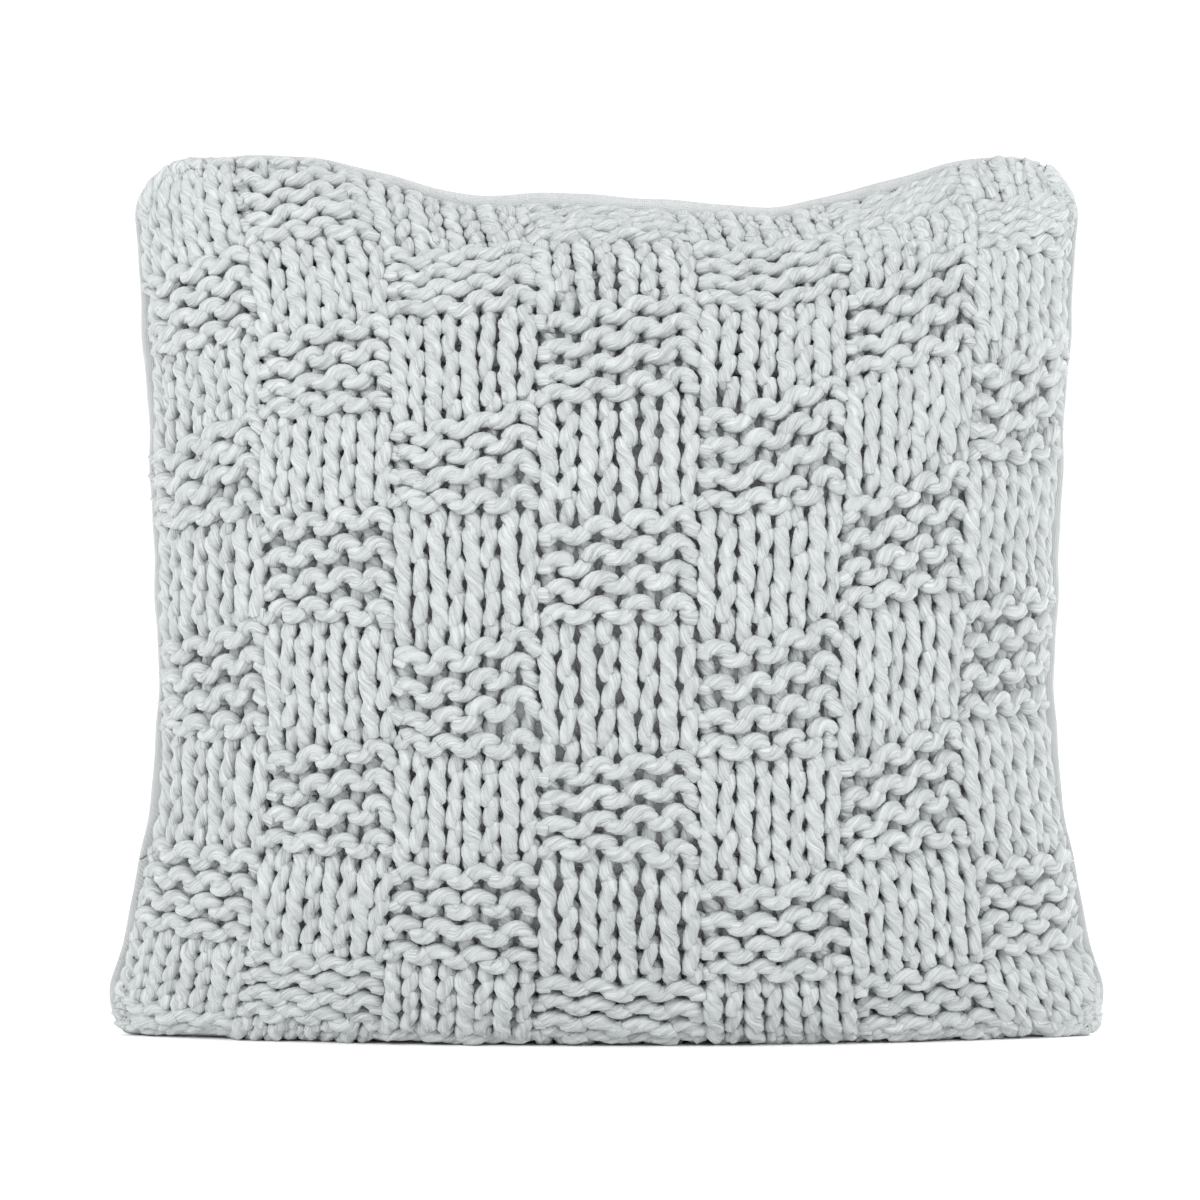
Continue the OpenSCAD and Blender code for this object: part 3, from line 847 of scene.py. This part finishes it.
def grid_lengths(points, rows, cols):
    """Each grid point's distance across and up the cloth from its middle, in metres."""
    p = points.reshape(rows, cols, 3) * MM
    across, up = np.zeros((rows, cols)), np.zeros((rows, cols))
    across[:, 1:] = np.cumsum(np.linalg.norm(np.diff(p, axis=1), axis=2), 1)
    up[1:] = np.cumsum(np.linalg.norm(np.diff(p, axis=0), axis=2), 0)
    across -= across[:, cols // 2:cols // 2 + 1]
    return np.stack([across.ravel(), up.ravel()], -1)


def grid_object(name, points, rows, cols, material, flip=False):
    faces = grid_faces(rows, cols, flip)
    return mesh_object(name, points, faces, material, grid_lengths(points, rows, cols)[faces])


def grid_normals(points, rows, cols):
    p = points.reshape(rows, cols, 3)
    return unit(np.cross(np.gradient(p, axis=1), np.gradient(p, axis=0))).reshape(-1, 3)


def stations(n):
    """Places from -1 to 1 that crowd a little towards both ends."""
    x = np.linspace(-1, 1, n)
    return (x + np.sin(x * math.pi / 2)) / 2


def thicken(obj, thickness):
    solid = obj.modifiers.new("thickness", "SOLIDIFY")
    solid.thickness = thickness * MM
    solid.offset = -1
    return obj


def make_lining(material):
    n = BACK_STEPS
    u, v = np.meshgrid(stations(n), stations(n))
    points = surface(u.ravel(), v.ravel(), -1, LINING_IN, LINING_IN, LINING_IN)
    piece = thicken(grid_object("front_lining_cloth", points, n, n, material), LINING_T)
    piece_of(piece, "pillow", "lining", "front_lining")


# ---- the woven back ----


def v_at(u, z):
    """The v at which the back reaches height z, found by halving."""
    low, high = -np.ones_like(u), np.ones_like(u)
    for _ in range(30):
        mid = (low + high) / 2
        below = in_plane(u, mid)[1] < z
        low, high = np.where(below, mid, low), np.where(below, high, mid)
    return low


def band_y(x, edge_x):
    """How far behind the seam plane the zipper's band lies at x."""
    past = np.abs(x) - ARC_END_X
    share = np.clip(past / (edge_x - ARC_END_X), 0, 1)
    arc = ZIP_CENTRE_Y + np.sqrt(ZIP_R**2 - np.minimum(np.abs(x), ARC_END_X) ** 2)
    beyond = (arc + ARC_END_SLOPE * past) * (1 - share**3) ** 0.6
    return np.where(past <= 0, arc, beyond)


def back_surface(u, v):
    """Points of the back, with the band that the zipper runs along."""
    points = surface(u, v, 1)
    edge_x = half_w(rounded(u, v)[1])
    share = 1 - ease(BAND_FULL, BAND_NONE, np.abs(points[:, 2] - ZIP_Z))
    band = np.maximum(SEAM_GAP, band_y(points[:, 0], edge_x))
    points[:, 1] = lerp(points[:, 1], band, share)
    return points


def wrap_surface(u, v, step):
    """Points of the strip of back cloth that rolls over the edge and lies under the knit's rim.

    step counts along the strip's section, from 0 on the edge.
    """
    inset = spline(WRAP_IN, step)
    forward = spline(WRAP_FORWARD, step) * lerp(WRAP_LOW, 1, strip_share(u, v))
    points = surface(u, v, -1, inset)
    points[:, 1] -= lerp(inset, forward, ease(0, 25, points[:, 2]))
    return points


def pucker(points, normals, distance, along, seed, amount, reach, share=1.0):
    """Gathers cloth towards a seam at distance 0, unevenly along it, as much as share says."""
    rng = np.random.default_rng(seed)
    wave = np.zeros(len(points))
    for length in (13, 17, 23, 31, 44):
        wave += np.sin(along * math.tau / length + rng.uniform(0, math.tau)) * rng.uniform(0.5, 1)
    fall = np.exp(-distance / reach) * ease(0, 4, distance)
    fold = np.logaddexp(0, 1.3 * wave)
    return points + normals * (amount * fold * fall * share)[:, None]


# The cloth's own stiffness and mass, the filling's push on it and its spare length.
CLOTH = {
    "quality": 5, "mass": 0.15, "bending_stiffness": 0.35,
    "tension_stiffness": 18, "compression_stiffness": 14, "shear_stiffness": 8,
    "use_pressure": True, "uniform_pressure_force": 2.5, "shrink_min": -0.03,
}
CLOTH_FRAMES = 20
# How far each panel may swell, in millimetres: the label lies on the lower one.
SWELL_CAP = {1: 4.0, -1: 0.8}


def simulate(obj, pinned, cap):
    """Lets cloth, held at its pinned points, swell and wrinkle, and keeps the result in the mesh."""
    group = obj.vertex_groups.new(name="pin")
    group.add([int(i) for i in np.flatnonzero(pinned)], 1.0, "REPLACE")
    cloth = obj.modifiers.new("cloth", "CLOTH")
    settings = cloth.settings
    for key, value in CLOTH.items():
        setattr(settings, key, value)
    settings.effector_weights.gravity = 0
    settings.vertex_group_mass = "pin"
    cloth.collision_settings.use_collision = False
    for frame in range(1, CLOTH_FRAMES + 1):
        bpy.context.scene.frame_set(frame)
    swollen = obj.evaluated_get(bpy.context.evaluated_depsgraph_get())
    before = np.zeros(len(obj.data.vertices) * 3, np.float32)
    after = before.copy()
    obj.data.vertices.foreach_get("co", before)
    swollen.data.vertices.foreach_get("co", after)
    move = (after - before).reshape(-1, 3)
    size = np.linalg.norm(move, axis=1, keepdims=True)
    move *= cap * MM * np.tanh(size / (cap * MM)) / np.maximum(size, 1e-9)
    obj.data.vertices.foreach_set("co", before + move.ravel())
    obj.modifiers.remove(cloth)
    bpy.context.scene.frame_set(1)
    obj.data.update()


BACK_T, HEM_R = 0.8, 0.8
UPPER_ROWS, LOWER_ROWS = 110, 50
SIDE_GAP = 0.6
HEM_REACH = 24
WRAP_STEPS = 14
# The turned hem's section, up the cloth and into the cover, in shares of HEM_R.
HEM_TURN = [(0, 0), (-0.7, -0.25), (-1, -1), (-0.7, -1.75), (0.5, -2.1), (6, -2.3), (14, -2.5)]


def gap_at(x):
    """The width of the opening at x: it closes from the zipper's ends to the side seams."""
    return lerp(ZIP_GAP, SIDE_GAP, ease(ARC_END_X - 4, WAIST_W / 2 + 8, np.abs(x)))


def hem_line(u, side):
    """The v of the panel's hem along the opening."""
    v = v_at(u, ZIP_Z + 0 * u)
    x = in_plane(u, v)[0]
    return v_at(u, ZIP_Z + side * gap_at(x) / 2)


def panel_grid(side, rows):
    """The points of a panel in rows from its hem to its far rim, wrapped strips included, with the
    numbers of rows and columns, which points are wrapped or dropped, and the rows in the hem."""
    wrap = np.linspace(len(WRAP_IN) - 1, 0, WRAP_STEPS + 1)[:-1]
    columns = stations(BACK_STEPS)
    u = np.concatenate([-np.ones(WRAP_STEPS), columns, np.ones(WRAP_STEPS)])
    in_u = np.concatenate([wrap, np.zeros(len(columns)), wrap[::-1]])
    share = np.concatenate([[0], stations(2 * rows)[rows:]])
    hem = hem_line(u, side)
    v = np.stack([lerp(hem, side, t) for t in share] + [side + 0 * u] * WRAP_STEPS)
    in_v = np.concatenate([np.zeros(len(share)), wrap[::-1]])
    n_rows, n_cols = v.shape
    u, v = np.tile(u, n_rows), v.ravel()
    step = np.maximum(np.tile(in_u, n_rows), in_v.repeat(n_cols))
    wrapped = step > 0
    points = np.where(wrapped[:, None], wrap_surface(u, v, step), back_surface(u, v))
    corner = (np.tile(in_u, n_rows) > 0) & (in_v.repeat(n_cols) > 0)
    hem = points[:n_cols]
    turned = [hem + [0, HEM_R * b, side * HEM_R * a] for a, b in HEM_TURN[:0:-1]]
    points = np.concatenate(turned + [points])
    by_seam = np.tile(np.abs(hem[:, 0]) > ARC_END_X + HEM_REACH, len(turned))
    dropped = np.concatenate([by_seam, corner])
    wrapped = np.concatenate([np.tile(in_u > 0, len(turned)), wrapped])
    return points, n_rows + len(turned), n_cols, wrapped, dropped, len(turned)


def gather(points, outward, free, side, n_rows, n_cols):
    """Puckers a panel along its side seams, and along the top seam if it has one."""
    half = np.abs(points[:, 0]).reshape(n_rows, n_cols).max(1).repeat(n_cols)
    top = np.tile(points[:, 2].reshape(n_rows, n_cols).max(0), n_rows)
    from_side = np.where(free, half - np.abs(points[:, 0]), 0)
    from_top = np.where(free, top - points[:, 2], 0)
    by_top = ease(6, 45, from_top) if side > 0 else 1.0
    by_side = ease(6, 45, from_side)
    points = pucker(points, outward, from_side, points[:, 2], 41, 0.75, 24, by_top)
    if side < 0:
        return points
    return pucker(points, outward, from_top, points[:, 0], 43, 0.85, 26, by_side)


def back_panel(name, side, rows, material):
    """One woven panel: its strip round the edge, its face, and its folded hem at the opening."""
    points, n_rows, n_cols, wrapped, dropped, hem_rows = panel_grid(side, rows)
    outward = -side * grid_normals(points, n_rows, n_cols)
    row = np.arange(len(points)) // n_cols
    free = ~wrapped & (row > hem_rows)
    points = gather(points, outward, free, side, n_rows, n_cols)
    points[:, 2] = np.maximum(points[:, 2], FLOOR_CLEAR)
    faces = grid_faces(n_rows, n_cols, flip=side > 0)
    faces = faces[~dropped[faces].any(1)]
    obj = mesh_object(name, points, faces, material, grid_lengths(points, n_rows, n_cols)[faces])
    reach = points[:, 0] ** 2 / (WAIST_W / 2) ** 2
    pinned = wrapped | (row < hem_rows + 4) | (reach > 0.985) | (points[:, 2] < 2.0)
    pinned |= row >= n_rows - WRAP_STEPS - 3
    simulate(obj, pinned, SWELL_CAP[side])
    merge_close(obj, 0.03, set(np.unique(faces).tolist()))
    return thicken(obj, BACK_T)


def make_back(material):
    upper = back_panel("back_upper_cloth", 1, UPPER_ROWS, material)
    lower = back_panel("back_lower_cloth", -1, LOWER_ROWS, material)
    piece_of(upper, "pillow", "woven_back", "back_upper_panel")
    piece_of(lower, "pillow", "woven_back", "back_lower_panel")


# ---- zipper ----

TAPE_OUT = -1.15
COIL_OUT = 0.45
COIL_NEAR, COIL_FAR = 0.32, 2.85
COIL_PITCH, COIL_R = 1.4, 0.3
TURN_STEPS = 14
STOP_L = 2.4
HALF = {1: "upper", -1: "lower"}
END = {1: "right", -1: "left"}
STITCH_Z = ZIP_GAP / 2 + 2.5
SEWN_PITCH, SEWN_L, SEWN_R = 3.2, 2.7, 0.3


def degrees_of(length):
    return math.degrees(length / ZIP_R)


def on_arc(angle, out, z):
    """Points on the zipper's arc; angle in degrees, out from the arc and z above its middle line."""
    angle = np.radians(angle)
    r = ZIP_R + out
    return np.stack([r * np.sin(angle), ZIP_CENTRE_Y + r * np.cos(angle), ZIP_Z + z + 0 * angle], -1)


def make_coil(side, material):
    """Half of the coil: a nylon monofilament wound flat, with a loop at each turn."""
    first, last = -ZIP_HALF + degrees_of(2 * STOP_L), ZIP_HALF - degrees_of(STOP_L)
    length = math.radians(last - first) * ZIP_R
    turns = int(length / COIL_PITCH)
    turn = np.arange(turns * TURN_STEPS + 1) / TURN_STEPS + (0 if side > 0 else 0.5)
    phase = turn * math.tau
    z = (COIL_NEAR + COIL_FAR) / 2 - ((COIL_FAR - COIL_NEAR) / 2 - COIL_R) * np.cos(phase)
    rise = (COIL_OUT - TAPE_OUT) / 2 - COIL_R
    out = (TAPE_OUT + COIL_OUT) / 2 + rise * np.sin(phase)
    line = on_arc(first + degrees_of(COIL_PITCH) * turn, out, side * z)
    line = line[turn * COIL_PITCH < length - 0.5]
    name = "zipper_coil_turns_" + HALF[side]
    node = "zipper_coil_" + HALF[side]
    piece_of(parts_object(name, [tube(line, COIL_R, 7)], material), "pillow", "zipper_coil", node)


def make_stitches(side, material):
    """A row of topstitching beside the opening, each stitch pressed a little into the cloth."""
    count = int(math.radians(2 * (ZIP_HALF + ZIP_OVER)) * ZIP_R / SEWN_PITCH)
    parts = []
    for i in range(count):
        middle = -ZIP_HALF - ZIP_OVER + degrees_of(SEWN_PITCH) * (i + 0.5)
        t = np.linspace(-1, 1, 9)
        out = 0.42 - 0.55 * t**4
        line = on_arc(middle + degrees_of(SEWN_L / 2) * t, out, side * (STITCH_Z + 0.07 * t))
        parts.append(tube(line, SEWN_R * (1 - 0.35 * t**4), 8))
    row = parts_object("zipper_topstitch_" + HALF[side], parts, material)
    piece_of(row, "pillow", "sewing_thread", "zipper_stitching_" + HALF[side])


def dress_node(node, material, bevel=0.0):
    """Gives a CAD node its own material, and rounds its edges by bevel millimetres."""
    obj = frame["nodes"][node]
    obj.data.materials.clear()
    obj.data.materials.append(material)
    if bevel:
        rounded_edge = obj.modifiers.new("bevel", "BEVEL")
        rounded_edge.width = bevel * MM
        rounded_edge.segments = 3
        rounded_edge.limit_method = "ANGLE"
        rounded_edge.angle_limit = math.radians(40)
        obj.data.shade_smooth()
        normals = obj.modifiers.new("normals", "WEIGHTED_NORMAL")
        normals.keep_sharp = False


TAB_BACK, TAB_T = 0.85, 0.7


def make_end_tab(side, material):
    """Folded cloth from the end of the coil to the side seam, pleated along its middle."""
    near_x = ZIP_R * math.sin(math.radians(ZIP_HALF + 0.25))
    edge_x = half_w(v_at(np.array([1.0]), np.array([float(ZIP_Z)])))[0]
    cols, rows = 60, 17
    x = lerp(near_x, edge_x - 1.2, np.sin(np.linspace(0, math.pi / 2, cols)))
    xx, tt = np.meshgrid(x, np.linspace(-1, 1, rows))
    half = np.minimum(ZIP_GAP / 2 - 0.4, gap_at(xx) / 2 + 1.6)
    fold = 0.3 * np.exp(-((tt / 0.12) ** 2))
    crumple = 0.12 * np.sin(xx / 2.3 + 3 * tt) * (1 - tt**2)
    y = band_y(xx, edge_x - 1.0) - TAB_BACK + fold + crumple
    points = np.stack([side * xx, y, ZIP_Z + half * tt], -1).reshape(-1, 3)
    name = "zipper_end_cloth_" + END[side]
    obj = thicken(grid_object(name, points, rows, cols, material, flip=side > 0), TAB_T)
    piece_of(obj, "pillow", "woven_back", "zipper_end_tab_" + END[side])


def make_zipper(cloth, tape, coil, metal, thread):
    for side in (1, -1):
        make_coil(side, coil)
        make_stitches(side, thread)
        make_end_tab(side, cloth)
    for node in ("zipper_tape_upper", "zipper_tape_lower"):
        dress_node(node, tape)
    for node in ("zipper_top_stops", "zipper_bottom_stop"):
        dress_node(node, metal, 0.25)
    for node in ("zipper_slider", "zipper_pull"):
        dress_node(node, metal, 0.18)


# ---- care label ----

LABEL_W, LABEL_H, LABEL_AT = 26, 38, -12
LABEL_FOLD = 0.5


def make_label(material, thread):
    """A blank label folded at its bottom, sewn by its top edge below the zipper."""
    cols, rows = 27, 60
    across = np.linspace(-LABEL_W / 2, LABEL_W / 2, cols)
    down = np.linspace(0, 2 * LABEL_H, rows)
    a, d = np.meshgrid(across, down)
    front = d > LABEL_H
    drop = np.where(front, 2 * LABEL_H - d, d)
    z = ZIP_Z - STITCH_Z - 1.5 - drop
    angle = LABEL_AT + np.degrees(a / ZIP_R)
    x = ZIP_R * np.sin(np.radians(angle))
    u = x / half_w(-0.5)
    v = v_at(u.ravel(), z.ravel())
    under = back_surface(u.ravel(), v)[:, 1].reshape(u.shape)
    curl = 3.2 * (drop / LABEL_H) ** 2 + 0.5 * np.sin(a / 6.0 + 0.8) * drop / LABEL_H
    gap = np.where(front, 1, 0) * LABEL_FOLD * np.minimum(1, (LABEL_H - drop) / 4 + 0.25)
    points = np.stack([x, under + 0.9 + curl + gap, z], -1).reshape(-1, 3)
    label = thicken(grid_object("care_label_satin", points, rows, cols, material, flip=True), 0.16)
    piece_of(label, "pillow", "label_satin", "care_label")
    parts = []
    for i in range(8):
        t = np.linspace(-1, 1, 7)
        middle = LABEL_AT + degrees_of(-LABEL_W / 2 + LABEL_W * (i + 0.5) / 8)
        line = on_arc(middle + degrees_of(1.3) * t, 2.1 - 0.5 * t**4, -STITCH_Z - 3.0)
        parts.append(tube(line, 0.16, 6))
    piece_of(parts_object("care_label_stitches", parts, thread), "pillow", "sewing_thread")


# ---- inside the cover ----

WOVEN_T = 1.0
LAYER_GAP = 0.5
ALLOWANCE_IN = LINING_IN + WOVEN_T + LAYER_GAP
ALLOWANCE_W, ALLOWANCE_T = 8, 2.6
OVERLOCK_TURNS, OVERLOCK_W, OVERLOCK_R = 96, 4.5, 0.2
INSERT_IN = ALLOWANCE_IN + ALLOWANCE_W + LAYER_GAP
INSERT_GAP = 0.9
INSERT_FRONT_DEEP = LINING_IN + WOVEN_T + LAYER_GAP + INSERT_GAP
INSERT_BACK_DEEP = 8
INSERT_T = 0.8
SHELL_T = 0.3
INSERT_STEPS = 110
INSERT_SEAM_W = 5
FILL_GAP = 0.6
CORNER_CUT = 0.9


def seam_line(u, v, inset, off):
    """Points on the seam's own surface, off behind it."""
    x, z = in_plane(u, v, inset, inset)
    return np.stack([x, lean(v) + off, z], -1)


def make_allowance(name, place, material):
    """Two trimmed edges held together by overlocking thread that loops round them."""
    n = 240
    t = np.linspace(-CORNER_CUT, CORNER_CUT, n)
    u, v = place(t)
    rng = np.random.default_rng(len(name))
    frayed = wander(7 + len(name), n, 9, 0.25)
    faces = grid_faces(6, n)
    parts = []
    for off in (-ALLOWANCE_T / 2 + 0.5, ALLOWANCE_T / 2 - 0.5):
        near = seam_line(u, v, ALLOWANCE_IN + 0.3, off)
        far = seam_line(u, v, ALLOWANCE_IN + ALLOWANCE_W - 0.9 + frayed, off * 0.7)
        points = np.concatenate([lerp(near, far, k) for k in np.linspace(0, 1, 6)])
        parts.append((points, faces, grid_lengths(points, 6, n)[faces]))
    turn = np.linspace(0, OVERLOCK_TURNS, OVERLOCK_TURNS * 12)
    u, v = place(lerp(-CORNER_CUT, CORNER_CUT, turn / OVERLOCK_TURNS))
    swing = 0.5 - 0.5 * np.cos(turn * math.tau)
    off = (ALLOWANCE_T / 2 - 0.25) * np.sin(turn * math.tau)
    loop = seam_line(u, v, ALLOWANCE_IN + ALLOWANCE_W - 0.35 - OVERLOCK_W * swing, off)
    loop += rng.normal(0, 0.03, loop.shape)
    parts.append(tube(loop, OVERLOCK_R, 6))
    piece_of(parts_object(name + "_overlocked", parts, material), "pillow", "seam_allowance", name)


def make_allowances(material):
    make_allowance("seam_allowance_top", lambda t: (t, 1 + 0 * t), material)
    make_allowance("seam_allowance_bottom", lambda t: (t, -1 + 0 * t), material)
    make_allowance("seam_allowance_left", lambda t: (-1 + 0 * t, t), material)
    make_allowance("seam_allowance_right", lambda t: (1 + 0 * t, t), material)


def insert_points(side, inset, deep, gap, n, seed, amount):
    """One half of the insert's surface, gathered along its seam."""
    u, v = np.meshgrid(stations(n), stations(n))
    u, v = u.ravel(), v.ravel()
    points = surface(u, v, side, inset, deep, inset) + [0, side * gap, 0]
    inward = grid_normals(points, n, n) * side
    edge = np.minimum((1 - np.abs(u)) * 190, (1 - np.abs(v)) * 190)
    around = np.where(np.abs(u) > np.abs(v), points[:, 2], points[:, 0])
    return pucker(points, inward, edge, around, seed, amount, 15)


def make_insert(shell, fill):
    """The insert's shell in two halves with a seam round them, and the wadding inside it."""
    n = INSERT_STEPS
    front = insert_points(-1, INSERT_IN, INSERT_FRONT_DEEP, INSERT_GAP, n, 51, 0.45)
    back = insert_points(1, INSERT_IN, INSERT_BACK_DEEP, INSERT_GAP, n, 53, 0.45)
    front = thicken(grid_object("insert_front_shell", front, n, n, shell), SHELL_T)
    back = thicken(grid_object("insert_back_shell", back, n, n, shell, flip=True), SHELL_T)
    piece_of(front, "pillow", "insert_shell", "insert_front")
    piece_of(back, "pillow", "insert_shell", "insert_back")
    make_insert_seam(shell)
    deep = INSERT_T + FILL_GAP
    inset = INSERT_IN + INSERT_SEAM_W + FILL_GAP
    front = insert_points(-1, inset, INSERT_FRONT_DEEP + deep, 0, n, 55, 0.7)
    back = insert_points(1, inset, INSERT_BACK_DEEP + deep, 0, n, 57, 0.7)
    faces = np.concatenate([grid_faces(n, n), grid_faces(n, n, flip=True) + n * n])
    body = mesh_object("fiberfill_wadding", np.concatenate([front, back]), faces, fill)
    merge_close(body, 0.6)
    piece_of(body, "pillow", "fiberfill", "fiberfill")


def make_insert_seam(material):
    """The insert's sewn edge: a flat band."""
    n = 90
    t = stations(n)
    one = np.ones(n)
    u = np.concatenate([t, one, t[::-1], -one])
    v = np.concatenate([-one, t, one, t[::-1]])
    count = len(u)
    ring = [(0.2, -0.5), (0.2, 0.5), (INSERT_SEAM_W - 0.2, 0.5), (INSERT_SEAM_W - 0.2, -0.5)]
    points = np.stack([seam_line(u, v, INSERT_IN + k, off) for k, off in ring], 1).reshape(-1, 3)
    i, m = np.meshgrid(np.arange(count), np.arange(4), indexing="ij")
    j, m1 = (i + 1) % count, (m + 1) % 4
    faces = np.stack([4 * i + m, 4 * j + m, 4 * j + m1, 4 * i + m1], -1).reshape(-1, 4)
    uv = np.stack([points[faces][..., 0] + points[faces][..., 1], points[faces][..., 2]], -1) * MM
    band = mesh_object("insert_seam_band", points, faces, material, uv)
    piece_of(band, "pillow", "insert_shell", "insert_seam")


# ---- stray fibres on the knit ----

STRAYS = 900


def make_strays(material):
    """Loose hairs that stand off the yarn, most of them short."""
    rng = np.random.default_rng(77)
    parts = []
    for _ in range(STRAYS):
        s0, t0 = rng.uniform(0.3, STITCHES - 0.3), rng.uniform(0.3, COURSES - 0.3)
        turn, length = rng.uniform(0, math.tau), rng.gamma(2.2, 2.6) + 2.5
        t = np.linspace(0, 1, 9)
        bend = rng.normal(0, 1.1)
        heading = turn + bend * t
        step = length / STITCH_W
        s = s0 + np.cumsum(np.cos(heading)) * step / 9
        r = t0 + np.cumsum(np.sin(heading)) * step / 9
        point, out = knit_frame(s, r)
        height = -2.2 + rng.uniform(1.0, 3.2) * np.sin(t * math.pi * rng.uniform(0.5, 1.0))
        parts.append(tube(point + out * height[:, None], 0.075 * (1.05 - t**3), 3))
    piece_of(parts_object("knit_stray_fibres", parts, material), "pillow", "knit_yarn")


def main():
    make_camera()
    make_stage()
    cloth = woven_material("woven_back", (0.52, 0.54, 0.545), (0.40, 0.42, 0.425))
    thread = thread_material()
    yarn = yarn_material()
    make_back(cloth)
    make_lining(woven_material("lining", (0.80, 0.82, 0.83), (0.66, 0.68, 0.69)))
    make_zipper(cloth, tape_material(), nylon_material(), metal_material(), thread)
    make_label(satin_material(), thread)
    make_allowances(woven_material("allowance", (0.64, 0.66, 0.67), (0.48, 0.50, 0.51)))
    shell = woven_material("insert_shell", (0.84, 0.84, 0.83), (0.72, 0.72, 0.71), 0.0006, 0.1)
    make_insert(shell, wadding_material())
    make_knit(yarn)
    make_strays(yarn)


main()
